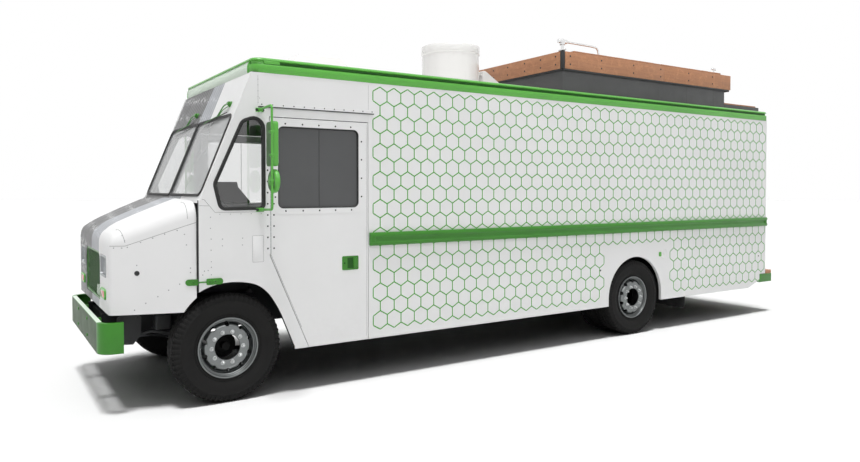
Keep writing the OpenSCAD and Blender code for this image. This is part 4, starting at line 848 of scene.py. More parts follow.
# ------------------------------------------------------------------ honeycomb lines on the walls
HXW, HXS, HXP = 0.160, 0.160 / sqrt(3), 0.139
HX0, HZT = -1.506, 2.8054
LH = 0.0053
def hex_edges():
    seen = {}
    for k in range(17):
        odd = k % 2; z = HZT - HXP * k
        for j in range(42):
            if k >= 12 and not (j <= 19 or j >= (28 if odd else 29)): continue
            x = HX0 - HXW * j - (0.08 if odd else 0)
            c = []
            for q in range(6):
                a = pi / 2 + q * pi / 3
                c.append((x + HXS * cos(a), z + HXP * 2 / 3 * sin(a) * 1.0))
            for q in range(6):
                a, b = c[q], c[(q + 1) % 6]
                ka, kb = [(round((p[0] - HX0) / 0.08), round(3 * (HZT - p[1]) / HXP)) for p in (a, b)]
                seen.setdefault((min(ka, kb), max(ka, kb)), (a, b))
    return list(seen.values())
def hex_strip(mb, a, b, y0, y1, tipa=True, tipb=True):
    a, b = Vector(a), Vector(b); d = (b - a).normalized(); n = Vector((-d.y, d.x)); k = LH / sqrt(3)
    q = ([a] if tipa else []) + [a - n * LH + (d * k if tipa else d * 0), b - n * LH - (d * k if tipb else d * 0)] + ([b] if tipb else []) + [b + n * LH - (d * k if tipb else d * 0), a + n * LH + (d * k if tipa else d * 0)]
    m = len(q)
    vs = [V(p.x, y0, p.y) for p in q] + [V(p.x, y1, p.y) for p in q]
    mb.add(vs, [tuple(range(m)), tuple(range(2 * m - 1, m - 1, -1))] + [(i, i + m, (i + 1) % m + m, (i + 1) % m) for i in range(m)])
E = hex_edges()
lh = MB(); [hex_strip(lh, a, b, HW - 0.0006, HW + 0.0006) for a, b in E]
lh.make("honeycomb_left", M["vinyl"], "root", "paint_green", recalc=True)
# the right wall has the hatch in it: lines are cut at its gap, and those on the hatch move with it
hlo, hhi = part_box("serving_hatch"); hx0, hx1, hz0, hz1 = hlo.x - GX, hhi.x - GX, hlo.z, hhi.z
def clip(a, b, x0, x1, z0, z1):
    t0, t1 = 0.0, 1.0; dx, dz = b[0] - a[0], b[1] - a[1]
    for p, q in ((-dx, a[0] - x0), (dx, x1 - a[0]), (-dz, a[1] - z0), (dz, z1 - a[1])):
        if abs(p) < 1e-9:
            if q < 0: return None
        else:
            r = q / p
            if p < 0: t0 = max(t0, r)
            else: t1 = min(t1, r)
    return (t0, t1) if t1 - t0 > 1e-4 else None
rh, rd = MB(), MB()
at_ = lambda a, b, t: (a[0] + (b[0] - a[0]) * t, a[1] + (b[1] - a[1]) * t)
for a, b in E:
    i = clip(a, b, hx0 + 0.005, hx1 - 0.005, hz0 + 0.005, hz1 - 0.005)
    if i:
        hex_strip(rd, at_(a, b, i[0]), at_(a, b, i[1]), -HW - 0.0006, -HW + 0.0006, i[0] < 1e-6, i[1] > 1 - 1e-6)
    o = clip(a, b, hx0 - 0.011, hx1 + 0.011, hz0 - 0.011, hz1 + 0.011)
    if not o: hex_strip(rh, a, b, -HW - 0.0006, -HW + 0.0006)
    else:
        if o[0] > 0.02: hex_strip(rh, a, at_(a, b, o[0]), -HW - 0.0006, -HW + 0.0006, True, False)
        if o[1] < 0.98: hex_strip(rh, at_(a, b, o[1]), b, -HW - 0.0006, -HW + 0.0006, False, True)
rh.make("honeycomb_right", M["vinyl"], "root", "paint_green")
rd.make("honeycomb_hatch", M["vinyl"], "hatch", "paint_green")

# ------------------------------------------------------------------ roof rail
M["groove"] = rubber("groove_shadow", lin("#174A0E"), 0.55)
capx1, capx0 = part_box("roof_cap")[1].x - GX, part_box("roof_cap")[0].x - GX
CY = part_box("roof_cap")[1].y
cp = rpts([(capx1, -CY, 0.110), (capx1, CY, 0.110), (capx0, CY, 0.03), (capx0, -CY, 0.03)], 10)
cp = [V(x, y, 0) for x, y in cp]
sec = [(-0.004, CAPZ), (0.0, CAPZ + 0.004), (0.0, 3.002), (-0.0015, 3.006), (-0.014, 3.010), (-0.018, 3.014), (-0.018, 3.036), (-0.014, 3.040), (-0.0035, 3.043), (-0.002, 3.046), (-0.0035, 3.050), (-0.010, 3.060), (-0.022, 3.067), (-0.036, CAPT - 0.0004), (-0.052, CAPT), (-0.060, CAPT - 0.002), (-0.060, CAPZ), (-0.02, CAPZ)]
rc = MB(); sweep(rc, cp, sec, (0, 0, 1))
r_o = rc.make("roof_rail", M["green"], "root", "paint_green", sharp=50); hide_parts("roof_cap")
# painted shadow: a dark strip in the side channels stands in for the shade in the groove, and a filler where the
# channel stops at the front
gs = MB(); box(gs, (capx0 + 0.05, CY - 0.0178, 3.0145), (-0.470, CY - 0.0120, 3.0355), 0.001)
box(gs, (-0.4695, CY - 0.0170, 3.011), (-0.3185, CY - 0.0012, 3.0420), 0.004, 2, 1)
gs.mirror().make("roof_channel_seal", [M["groove"], M["green"]], "root", "paint_green")
# the front has a rolled cover with a joint at each end
fc = MB()
fsec = [(-0.010, CAPZ - 0.002), (0.0015, CAPZ + 0.002), (0.0042, CAPZ + 0.018), (0.0050, 2.960), (0.0040, 2.985), (0.0005, 3.006), (-0.0065, 3.026), (-0.0170, 3.044), (-0.0300, 3.058), (-0.0440, 3.068), (-0.0570, 3.0735), (-0.0600, 3.068), (-0.020, 3.0), (-0.012, 2.95)]
fpath = [V(capx1, y, 0) for y in (-1.045, -0.5, 0, 0.5, 1.045)]
sweep(fc, fpath, fsec, (0, 0, 1), closed=False)
# the cover takes the pale green as a painted highlight on its rounded top
fc.make("roof_rail_front_cover", M["green_pale"], "root", "paint_green", sharp=40)
jr = MB()
for y in (-1.058, 1.058, -1.046, 1.046):
    sweep(jr, [V(capx1, y - 0.004, 0), V(capx1, y + 0.004, 0)], [(u + 0.0022, v) for u, v in fsec], (0, 0, 1), closed=False)
jr.make("roof_rail_joints", M["green"], "root", "paint_green", sharp=40)
rr = MB()
x = -0.33
while x > capx0 + 0.05:
    dome(rr, (x, CY, CAPZ + 0.012), (0, 1, 0), 0.0042, 0.0016, 6); x -= 0.102
rr.mirror().make("roof_rail_rivets", M["green"], "root", "paint_green")

# ------------------------------------------------------------------ rub rails: rolled section with a dark channel
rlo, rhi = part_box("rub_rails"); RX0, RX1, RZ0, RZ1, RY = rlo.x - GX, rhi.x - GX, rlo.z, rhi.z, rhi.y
rm = MB()
d = RY - HW
def rsec(k):
    return [(-0.001, RZ0 + 0.003), (d * .55 * k, RZ0), (d * .86 * k, RZ0 + 0.006), (d * k, RZ0 + 0.018), (d * .97 * k, RZ0 + 0.034), (d * .62 * k, RZ0 + 0.046), (d * .52 * k, RZ0 + 0.054), (d * .52 * k, RZ1 - 0.058), (d * .62 * k, RZ1 - 0.050), (d * .97 * k, RZ1 - 0.038), (d * k, RZ1 - 0.020), (d * .86 * k, RZ1 - 0.007), (d * .55 * k, RZ1), (-0.001, RZ1 - 0.003)]
vs, fs = [], []
xs = [RX0, RX0 + 0.004, RX0 + 0.014] + [RX1 - 0.014, RX1 - 0.004, RX1]
for i, x in enumerate(xs):
    k = (0.82, 0.95, 1, 1, 0.95, 0.82)[i]
    vs += [V(x, HW + max(-0.001, u), v) for u, v in rsec(k)]
m = 14
fs = [(i * m + j, (i + 1) * m + j, (i + 1) * m + (j + 1) % m, i * m + (j + 1) % m) for i in range(5) for j in range(m)] + [tuple(range(m)), tuple(reversed(range(5 * m, 6 * m)))]
rm.add(vs, fs)
for x in (RX1 - 0.035, RX0 + 0.035):
    box(rm, (x - 0.028, HW, RZ0 + 0.022), (x + 0.028, RY - 0.004, RZ1 - 0.022), 0.012, 3)
x = RX1 - 0.12
while x > RX0 + 0.1:
    dome(rm, (x, HW + d * .52, (RZ0 + RZ1) / 2), (0, 1, 0), 0.006, 0.003, 8); x -= 0.3
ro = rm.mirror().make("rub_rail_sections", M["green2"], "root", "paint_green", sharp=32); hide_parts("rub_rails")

# ------------------------------------------------------------------ roof equipment
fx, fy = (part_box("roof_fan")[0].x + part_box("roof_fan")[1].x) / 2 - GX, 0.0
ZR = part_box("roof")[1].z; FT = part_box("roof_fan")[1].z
M["fan"] = paint("fan_white", lin("#FAF9F7"), 0.16, 0.7, 0.02, 0.02, low=False)
fm_ = MB()
box(fm_, (fx - 0.30, -0.30, ZR - 0.004), (fx + 0.30, 0.30, ZR + 0.06), 0.012, 3)
zt = FT
lathe(fm_, [(0, ZR + .055), (0.352, ZR + .055), (0.358, ZR + .060), (0.360, ZR + .070), (0.360, zt - 0.108), (0.3655, zt - 0.104), (0.368, zt - 0.098), (0.368, zt - 0.010), (0.3655, zt - 0.003), (0.360, zt), (0.356, zt - 0.004), (0.354, zt - 0.030), (0.335, zt - 0.034), (0.10, zt - 0.016), (0, zt - 0.014)], (fx, fy, 0), (0, 0, 1), 96, closed=False)
for i in range(8):
    a = 2 * pi * (i + .5) / 8; dome(fm_, (fx + .368 * cos(a), .368 * sin(a), zt - .085), (cos(a), sin(a), 0), .007, .003)
for sx_ in (-1, 1):
    for sy in (-1, 1): bolt(fm_, (fx + sx_ * .265, sy * .265, ZR + .060), (0, 0, 1), .009, .007)
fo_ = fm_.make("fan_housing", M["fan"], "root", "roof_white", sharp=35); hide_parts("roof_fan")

vm = MB()
vx = -1.262
def frus(mb, cx, z0, z1, ax, ay, bx, by, r=0.03):
    rings = []
    for t in (0, 0.02, 0.96, 0.99, 1.0):
        sh = 0.0 if t < 0.95 else (0.006 if t < .985 else 0.018)
        hx_, hy_ = ax + (bx - ax) * t - sh, ay + (by - ay) * t - sh
        z = z0 + (z1 - z0) * t
        rings.append([V(cx + x, y, z) for x, y in rrect(-hx_, -hy_, hx_, hy_, r, 4)])
    loft(mb, rings)
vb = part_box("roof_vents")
frus(vm, vx, ZR - 0.003, ZR + 0.24, .43, .43, .25, .30)
box(vm, (vx - .46 + 0.03, -.43, ZR - .003), (vx + .43, .43, ZR + .02), .006)
for s in (-1, 1):
    for k in range(5): box(vm, (vx - .16 + k * .075, s * .372 - .006, ZR + .06), (vx - .12 + k * .075, s * .372 + .006, ZR + .13), .003)
# fresh-air hood with a sloping back, against the deck
hy = 0.17
pro = [(-3.560, ZR - .003), (-3.560, 3.385), (-3.568, 3.393), (-3.600, 3.393), (-4.070, 3.112), (-4.083, 3.100), (-4.083, ZR - .003)]
vs = [V(x, -hy + .004, z) for x, z in pro]; vs2 = [V(x, hy - .004, z) for x, z in pro]
inn = [V(x, -hy, z) for x, z in [(px + (0.004 if px < -3.8 else -0.004), pz - (0.004 if pz > 3.09 else 0)) for px, pz in pro]]
inn2 = [V(p.x, hy, p.z) for p in inn]
loft(vm, [inn, vs, vs2, inn2])
for z in (3.16, 3.22, 3.28, 3.34): box(vm, (-3.562, -hy + .02, z - .006), (-3.548, hy - .02, z + .012), .003)
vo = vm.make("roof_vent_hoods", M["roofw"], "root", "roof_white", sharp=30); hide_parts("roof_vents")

# deck on the roof
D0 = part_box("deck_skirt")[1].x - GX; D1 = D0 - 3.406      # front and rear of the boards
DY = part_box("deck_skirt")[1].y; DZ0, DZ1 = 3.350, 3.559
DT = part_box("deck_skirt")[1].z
wd, wy, sc_ = MB(), MB(), MB()
tk = 0.030
for s in (1, -1):
    x = D0 - 0.045
    cuts = [D0 - 0.045, (D0 + D1) / 2 - 0.2, D1 + 0.001]
    for a, b in zip(cuts, cuts[1:]):
        box(wd, (b + 0.0012, s * DY - (tk if s > 0 else 0), DZ0), (a - 0.0012, s * DY + (0 if s > 0 else tk), DZ1), 0.003)
    k = 0
    x = D0 - 0.13
    while x > D1 + 0.05:
        for z in (DZ0 + .058, DZ1 - .052): lathe(sc_, [(0, -.001), (.0115, -.001), (.0115, .0012), (.009, .0018), (.007, .0004), (0, .0004)], (x, s * DY, z), (0, s, 0), 12, closed=False)
        x -= (0.545, 0.60)[k % 2]; k += 1
for xx, sg in ((D0, 1), (D1, -1)):
    box(wy, (xx - (tk if sg > 0 else 0), -DY + (0.045 if sg > 0 else 0.031), DZ0), (xx + (0 if sg > 0 else tk), DY - (0.045 if sg > 0 else 0.031), DZ1), 0.003)
    for y in (-.95, -.62, -.28, .02, .36, .66, .93):
        for z in (DZ0 + .058, DZ1 - .052): lathe(sc_, [(0, -.001), (.0115, -.001), (.0115, .0012), (.009, .0018), (.007, .0004), (0, .0004)], (xx, y, z), (sg, 0, 0), 12, closed=False)
# deck planks run across; their ends show along the sides
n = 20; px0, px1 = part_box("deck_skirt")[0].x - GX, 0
PX0, PX1 = -4.287, -7.263
pw = (PX0 - PX1) / n
for i in range(n):
    a = PX0 - i * pw
    box(wy, (a - pw + .004, -DY + .004 + .002 * (i % 3), DZ1 + .0005), (a - .002, DY - .004 - .002 * ((i + 1) % 3), min(DT, 3.580) - (.0015 if i % 4 == 2 else 0)), .0025)
    for y in (-.9, -.3, .3, .9):
        for q in (.035, pw - .035): lathe(sc_, [(0, -.001), (.0045, -.001), (.0045, .0008), (0, .0008)], (a - q, y, 3.5785), (0, 0, 1), 8, closed=False)
wdo = wd.make("deck_side_boards", M["wood"], "root", "deck_wood", sharp=30)
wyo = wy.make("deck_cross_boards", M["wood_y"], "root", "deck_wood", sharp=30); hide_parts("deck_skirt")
sc_.make("deck_screws", M["trim"], "root", "steel_dark", sharp=30)
dk = MB()
for s in (1, -1):
    for xx in (D0 - .001, ):
        box(dk, (xx - .042, s * DY - (.041 if s > 0 else -.001), DZ0 + .002), (xx, s * DY - (.001 if s > 0 else -.041), DZ1 + .012), .004)
    box(dk, (D1 + .04, s * (DY - .012) - .012, DZ0 - .022), (D0 - .02, s * (DY - .012) + .012, DZ0 + .003), .003)
box(dk, (D0 - .028, -DY + .02, DZ0 - .022), (D0 - .004, DY - .02, DZ0 + .003), .003)
box(dk, (D1 + .004, -DY + .02, DZ0 - .022), (D1 + .028, DY - .02, DZ0 + .003), .003)
dk.make("deck_corner_trim", M["felt"], "root", "steel_dark", sharp=30)
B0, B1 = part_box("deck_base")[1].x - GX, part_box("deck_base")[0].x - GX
bs = MB(); BY = 1.030
box(bs, (-7.371, -BY, ZR), (B0, BY, DZ0 - .001), .006)
box(bs, (B1, -BY, ZR), (-7.3715, BY, 3.140), .004)
x = B0 - .55
while x > -7.3:
    for s in (1, -1): box(bs, (x - .0015, s * BY - .0008, ZR + .01), (x + .0015, s * BY + .0008, DZ0 - .024), .0004, 1)
    x -= .61
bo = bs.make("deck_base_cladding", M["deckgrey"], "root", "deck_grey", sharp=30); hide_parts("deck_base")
lb = MB()
a = -7.390; i = 0
while a > -8.10:
    b = max(a - .134, -8.195); box(lb, (b + .004, -1.022 + .003 * (i % 2), 3.1405), (a, 1.022 - .003 * (i % 3), 3.160), .0025); a = b; i += 1
    if b <= -8.19: break
lb.make("landing_boards", M["wood_y"], "root", "deck_wood", sharp=30)
# clamp and bent chrome tube at the near front corner of the deck, small clamp at the rear
cl = MB()
cx_, cy_ = -4.20, 0.93
box(cl, (cx_ - .05, cy_ - .05, 3.560), (cx_ + .05, cy_ + .05, 3.572), .003)
rod(cl, (cx_, cy_, 3.57), (cx_, cy_, 3.735), .021, 20, ch=.003)
rod(cl, (cx_ - .0, cy_, 3.66), (cx_ + .0, cy_, 3.70), .034, 24, ch=.004)
rod(cl, (cx_ - .07, cy_, 3.705), (cx_ + .07, cy_, 3.705), .026, 20, ch=.004)
rod(cl, (cx_, cy_ - .06, 3.60), (cx_, cy_ + .06, 3.60), .013, 16, ch=.003)
tube(cl, bend([(cx_, cy_, 3.705), (cx_ - .52, cy_, 3.700), (cx_ - .62, cy_ - .0, 3.69), (cx_ - .64, cy_, 3.575)], .10, 8), .014, 14)
rod(cl, (cx_ - .64, cy_, 3.560), (cx_ - .64, cy_, 3.590), .028, 20, ch=.003)
rod(cl, (-7.18, .98, 3.575), (-7.18, .98, 3.66), .012, 14, ch=.002)
rod(cl, (-7.22, .98, 3.640), (-7.13, .98, 3.640), .016, 14, ch=.003)
box(cl, (-7.22, .95, 3.578), (-7.14, 1.01, 3.588), .002)
cl.make("deck_clamps", M["chrome"], "root", "wheel_metal", sharp=35)

# ------------------------------------------------------------------ windshield, side glass and their seals
SN = V(cos(RAKE), 0, sin(RAKE)); SU = V(-sin(RAKE), 0, cos(RAKE)); SO = V(0.242, 0, 1.825)
def wsp(y, s, off=0.0): return SO + SU * s + SN * off + V(0, y, 0)
gk = MB()
gsec = [(-0.004, -0.004), (0.022, -0.004), (0.024, 0.002), (0.019, 0.0085), (0.0125, 0.0095), (0.0105, 0.0060), (0.0085, 0.0095), (0.003, 0.0085), (-0.001, 0.004)]
panes = []
for s in (1, -1):
    out = rpts([(s * 0.030, 0.020, 0.030), (s * 1.088, 0.020, 0.060), (s * 1.088, 0.770, 0.060), (s * 0.030, 0.770, 0.030)], 6)
    if s < 0: out = out[::-1]
    sweep(gk, [wsp(y, q) for y, q in out], gsec, SN)
    panes.append(out)
box(gk, (-0.012, -0.006, 0.02), (0.012, 0.006, 0.77), 0.003, 2, 0, Matrix.Translation(SO) @ Matrix((V(0, 1, 0), SN, SU)).transposed().to_4x4())
# side quarter seal, on both sides
qo = rpts([(-0.302, 1.725, 0.030), (0.070, 1.725, 0.045), (0.118, 1.930, 0.050), (-0.125, 2.480, 0.070), (-0.302, 2.545, 0.080)], 6)
ys = [V(x, HW, z) for x, z in qo]
sq = MB(); sweep(sq, ys[::-1], [(-0.006, -0.006), (-0.006, 0.004), (0.000, 0.0075), (0.010, 0.0085), (0.0125, 0.0050), (0.0150, 0.0085), (0.022, 0.0075), (0.026, 0.001), (0.026, -0.006)], (0, 1, 0))
sq.mirror(); gk.add(sq.v, sq.f)
gk.make("glass_seals", M["gasket"], "root", "seat_black", sharp=40)
# panes
pn = MB()
for out in panes: plate(pn, [out], lambda u, v: wsp(u, v, -0.006), SN * -0.005)
wso = pn.make("windshield_panes", M["glass_ws"], "root", "glass_clear")
qn = MB(); plate(qn, [qo], lambda u, v: (u, HW - 0.010, v), (0, -0.005, 0)); qn.mirror()
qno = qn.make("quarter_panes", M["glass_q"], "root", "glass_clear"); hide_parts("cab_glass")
# ------------------------------------------------------------------ cab doors: glass, window frame, seams, hinge, handle
wx0, wx1, wz0, wz1 = -1.262, -0.448, 1.713, 2.456
# the near door pane takes the dark glass as painted shade; the far one the clear glass
for sd, s, gl in (("left", 1, "glass_dark"), ("right", -1, "glass_far")):
    dg = MB()
    plate(dg, [rrect(wx0 + .002, wz0 + .002, wx1 - .002, wz1 - .002, 0.048)], lambda u, v: (u, s * (HW - 0.014), v), (0, -s * 0.006, 0))
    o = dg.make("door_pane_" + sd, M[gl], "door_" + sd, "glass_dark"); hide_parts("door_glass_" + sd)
    g2 = MB()
    pth = [V(x, s * HW, z) for x, z in (rrect(wx0, wz0, wx1, wz1, 0.050, 7) if s < 0 else rrect(wx0, wz0, wx1, wz1, 0.050, 7)[::-1])]
    sweep(g2, pth, [(-0.009, -0.016), (-0.009, -0.006), (-0.004, 0.0015), (0.0015, 0.0035), (0.0035, 0.002), (0.0035, -0.016)], (0, s, 0))
    # sliding sash divider
    box(g2, ((wx0 + wx1) / 2 - .004, s * (HW - .0135) - .0012, wz0 + .006), ((wx0 + wx1) / 2 + .001, s * (HW - .0135) + .0012, wz1 - .006), .0005, 1)
    g2.make("door_seal_" + sd, M["gasket"], "door_" + sd, "seat_black", sharp=40)
    # raised window frame, riveted
    f2 = MB()
    plate(f2, [rrect(wx0 - .070, wz0 - .055, wx1 + .055, wz1 + .055, 0.085, 7), rrect(wx0 - .0036, wz0 - .0036, wx1 + .0036, wz1 + .0036, 0.053, 7)], lambda u, v: (u, s * (HW + 0.0026), v), (0, -s * 0.0046, 0))
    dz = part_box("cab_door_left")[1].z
    f2.make("door_window_frame_" + sd, M["white"], "door_" + sd, "paint_white", sharp=30, bevel=0.0012)
    r2 = MB()
    for x in (-.516, -.684, -.848, -1.019, -1.181): dome(r2, (x, s * (HW + .0026), 2.484), (0, s, 0), .0085, .0026)
    for z in (2.349, 2.173, 1.993, 1.814): dome(r2, (-1.297, s * (HW + .0026), z), (0, s, 0), .0085, .0026)
    for z in (2.349, 2.173, 1.993, 1.814): dome(r2, (-.418, s * (HW + .0026), z), (0, s, 0), .0085, .0026)
    for x in (-.518, -.688, -.853, -1.018, -1.188): dome(r2, (x, s * (HW + .0026), 1.686), (0, s, 0), .0085, .0026)
    r2.make("door_rivets_" + sd, M["trim"], "door_" + sd, "steel_dark")
    # inner vertical line of the door skin
    s2 = MB()
    pts = [V(-1.352, s * HW, z) for z in (0.44, 1.2, 2.0, 2.515)]; ribbon(s2, pts, [V(0, s, 0)] * 4, .0022, .0004)
    s2.make("door_fold_line_" + sd, M["seam"], "door_" + sd, "paint_white")
    # recessed handle with a guard
    h2 = MB()
    plate(h2, [rrect(-1.262, 1.105, -1.086, 1.240, .012, 3), rrect(-1.248, 1.119, -1.140, 1.226, .008, 3)], lambda u, v: (u, s * (HW + 0.004), v), (0, -s * 0.006, 0))
    box(h2, (-1.250, s * HW - (.001 if s > 0 else .0022), 1.117), (-1.138, s * HW + (.0022 if s > 0 else .001), 1.228), .0005, 1)
    box(h2, (-1.246, min(s * HW, s * (HW + .013)), 1.124), (-1.203, max(s * HW, s * (HW + .013)), 1.221), .005, 3)
    h3 = MB(); box(h3, (-1.202, min(s * HW, s * (HW + .0032)), 1.122), (-1.143, max(s * HW, s * (HW + .0032)), 1.223), .001, 1)
    dome(h3, (-1.112, s * (HW + .004), 1.172), (0, s, 0), .010, .003)
    h3.make("door_handle_recess_" + sd, M["groove"], "door_" + sd, "paint_green", sharp=35)
    h2.make("door_handle_" + sd, M["green2"], "door_" + sd, "paint_green", sharp=35)
    # painted shade: a dark sheet inside the lower front corner of the pane stands in for the shaded cab inside seen
    # through it
    gd = MB(); plate(gd, [rpts([(wx1 - .002, 1.722, .01), (-.972, 1.722, .01), (-.945, 1.756, .01), (-.812, 1.915, .01), (-.800, 1.975, .008), (wx1 - .002, 1.975, .01)], 3)], lambda u, v: (u, s * (HW - .024), v), (0, -s * .002, 0))
    gd.make("door_pane_guard_" + sd, M["trim"], "door_" + sd, "seat_black", sharp=30)
# piano hinge: two leaves and a knuckle line, rivets in pairs
hg, hr, hk = MB(), MB(), MB()
HXc = -0.3745
HZ0_, HZ1_ = 1.30, 2.50
for s in (1, -1):
    box(hg, (HXc + .0035, s * HW - (.001 if s > 0 else -.001) if False else s * HW - .001, HZ0_) if s > 0 else (HXc + .0035, s * HW - .0022, HZ0_), (HXc + .046, s * HW + .0022, HZ1_) if s > 0 else (HXc + .046, s * HW + .001, HZ1_), .0008, 1)
    z = HZ0_ + .05
    while z < HZ1_ - .02:
        dome(hr, (HXc + .0285, s * (HW + .0022), z), (0, s, 0), .0085, .0026); z += 0.101
    z = HZ0_
    while z < HZ1_ - .03:
        rod(hk, (HXc, s * (HW + .0012), z + .001), (HXc, s * (HW + .0012), z + .048), .0034, 10, ch=.0008); z += .05
hg.make("hinge_leaf", M["white"], "root", "paint_white", sharp=30)
hr.make("hinge_rivets", M["trim"], "root", "steel_dark"); hk.make("hinge_knuckles", M["bezel"], "root", "wheel_metal")
for sd, s in (("left", 1), ("right", -1)):
    hd, hd2 = MB(), MB()
    box(hd, (HXc - .046, min(s * (HW - .001), s * (HW + .0022)), HZ0_), (HXc - .0035, max(s * (HW - .001), s * (HW + .0022)), HZ1_), .0008, 1)
    z = HZ0_ + .05
    while z < HZ1_ - .02:
        dome(hd2, (HXc - .0295, s * (HW + .0022), z), (0, s, 0), .0085, .0026); z += 0.101
    dl = MB(); P_ = [V(-.372 - .0012, s * HW, 1.300), V(-.500, s * HW, .998), V(-.668, s * HW, .603)]
    ribbon(dl, P_ if s > 0 else P_, [V(0, s, 0)] * 3, .0034, .0004); dl.make("door_slant_line_" + sd, M["seam"], "door_" + sd, "paint_white")
    hd.make("hinge_leaf_door_" + sd, M["white"], "door_" + sd, "paint_white"); hd2.make("hinge_rivets_door_" + sd, M["trim"], "door_" + sd, "steel_dark")
# drip rail over the door, rivets, sign panel (left bare)
dr, drr, sp = MB(), MB(), MB()
box(dr, (-1.432, HW - .001, 2.628), (-.262, HW + .014, 2.632), .001, 1)
box(dr, (-1.432, HW - .001, 2.630), (-.262, HW + .0028, 2.656), .0008, 1)
box(dr, (-1.432, HW + .011, 2.629), (-.262, HW + .014, 2.638), .001, 1)
# painted shadow: a dark strip under the drip rail stands in for the shadow the rail casts
dq = MB(); box(dq, (-1.432, HW - .001, 2.6195), (-.262, HW + .0125, 2.6285), .001, 1); dq.mirror().make("drip_rail_seal", M["gasket"], "root", "seat_black", sharp=30)
for i in range(12): dome(drr, (-.295 - i * .1019, HW + .0028, 2.646), (0, 1, 0), .0062, .0026)
for x, z in ((.165, 1.644), (.166, 1.548), (.161, 1.455), (.063, 1.451), (-.115, 1.453), (.162, 1.359), (.064, 1.393), (-.112, 1.393), (.16, 1.26), (.16, 1.211), (.22, 1.182), (.188, 1.185), (.234, 1.149), (.161, 1.147)):
    dome(sp, (x, HW, z), (0, 1, 0), .0052, .002)
for i in range(9): dome(sp, (-.275 - .0, HW, 2.70 + i * .0), (0, 1, 0), .004, .0015) if i == 0 else None
for i in range(5): dome(sp, (-.262, HW, 2.66 + .052 * i), (0, 1, 0), .0045, .0018)
for i in range(13): dome(sp, (.10 - .032 * i if False else .085 - .031 * i, HW, 1.668), (0, 1, 0), .004, .0015) if i % 3 == 0 else None
dr.mirror().make("drip_rails", M["white"], "root", "paint_white", sharp=30)
drr.mirror().make("drip_rail_rivets", M["trim"], "root", "steel_dark"); sp.mirror().make("cab_rivets", M["rivet"], "root", "wheel_metal")
# cab panel seams
cs = MB(); N1 = V(0, 1, 0)
def sideline(pts, w=.003):
    P = []
    for (x0, z0), (x1, z1) in zip(pts, pts[1:]): P += [V(x0 + (x1 - x0) * k / 4, HW, z0 + (z1 - z0) * k / 4) for k in range(4)]
    P.append(V(pts[-1][0], HW, pts[-1][1])); ribbon(cs, P, [N1] * len(P), w, .0004)
sideline([(.236, 1.7985), (.218, 1.796), (.127, 1.685), (-.312, 1.683)], .0035)
sideline([(-.262, 2.64), (-.262, 2.905)], .0025)
sideline([(-1.375, 2.665), (-1.375, 2.905)], .0025)
sideline([(.262, 1.745), (.175, 1.742)], .003)
plate(cs, [rrect(-.308, 1.232, -.203, 1.472, .008, 3), rrect(-.3055, 1.2345, -.2055, 1.4695, .007, 3)], lambda u, v: (u, HW + .0004, v), (0, -.001, 0))
cs.mirror().make("cab_seams", M["seam"], "root", "paint_white")
ap = MB(); box(ap, (-.3045, HW - .001, 1.2355), (-.2065, HW + .0016, 1.4685), .0012)
ap.mirror().make("cab_access_plate", M["white"], "root", "paint_white")
# rubber strip between nose and cab
gp = MB()
P = [V(HB - .004, 0, 0)]
w_, z_, r_s = hood_sec(HB)
for s in (1, -1): box(gp, (HB - .0115, s * (w_ - .012) - .010, 1.00), (HB - .0015, s * (w_ - .012) + .010, z_ - r_s), .003)
arc = [V(HB - .0065, (w_ - r_s) + (r_s - .012) * cos(a), z_ - r_s + (r_s - .012) * sin(a)) for a in [pi / 2 * k / 8 for k in range(9)]]
tube(gp, arc + [V(HB - .0065, 0, z_ - .006)], .006, 8); 
tube(gp, [V(p.x, -p.y, p.z) for p in arc] + [V(HB - .0065, 0, z_ - .006)], .006, 8)
gp.make("nose_seal", M["gasket"], "root", "seat_black", sharp=40)
# hood latch
lt, lt2, lr = MB(), MB(), MB()
yl = hood_side(.31, 1.086).y
plate(lt, [rpts([(.262, 1.058, .008), (.366, 1.058, .026), (.366, 1.112, .026), (.262, 1.112, .008)], 6)], lambda u, v: (u, hood_side(u, 1.086).y + .0075, v), (0, -.0095, 0))
rod(lt, (.305, yl + .004, 1.088), (.305, yl + .0135, 1.088), .009, 16, ch=.002)
plate(lt2, [rpts([(.062, 1.060, .024), (.204, 1.060, .010), (.204, 1.114, .010), (.062, 1.114, .024)], 6)], lambda u, v: (u, HW + .009, v), (0, -.010, 0))
box(lt2, (.110, HW + .005, 1.074), (.150, HW + .013, 1.100), .004, 3); box(lt2, (.165, HW + .005, 1.070), (.190, HW + .015, 1.104), .004, 3)
rod(lt2, (.205, HW + .010, 1.087), (.262, HW + .006, 1.087), .006, 12)
rod(lt2, (.258, HW + .007, 1.087), (.272, HW + .0065, 1.087), .008, 12, ch=.002)
dome(lr, (.130, HW + .0125, 1.087), (0, 1, 0), .006, .002); dome(lr, (.178, HW + .0145, 1.087), (0, 1, 0), .006, .002)
lt.mirror().make("hood_latch_strikers", M["green2"], "hood_lid", "paint_green", sharp=35); lt2.mirror().make("hood_latches", M["green2"], "root", "paint_green", sharp=35); lr.mirror().make("hood_latch_bolts", M["trim"], "root", "steel_dark")

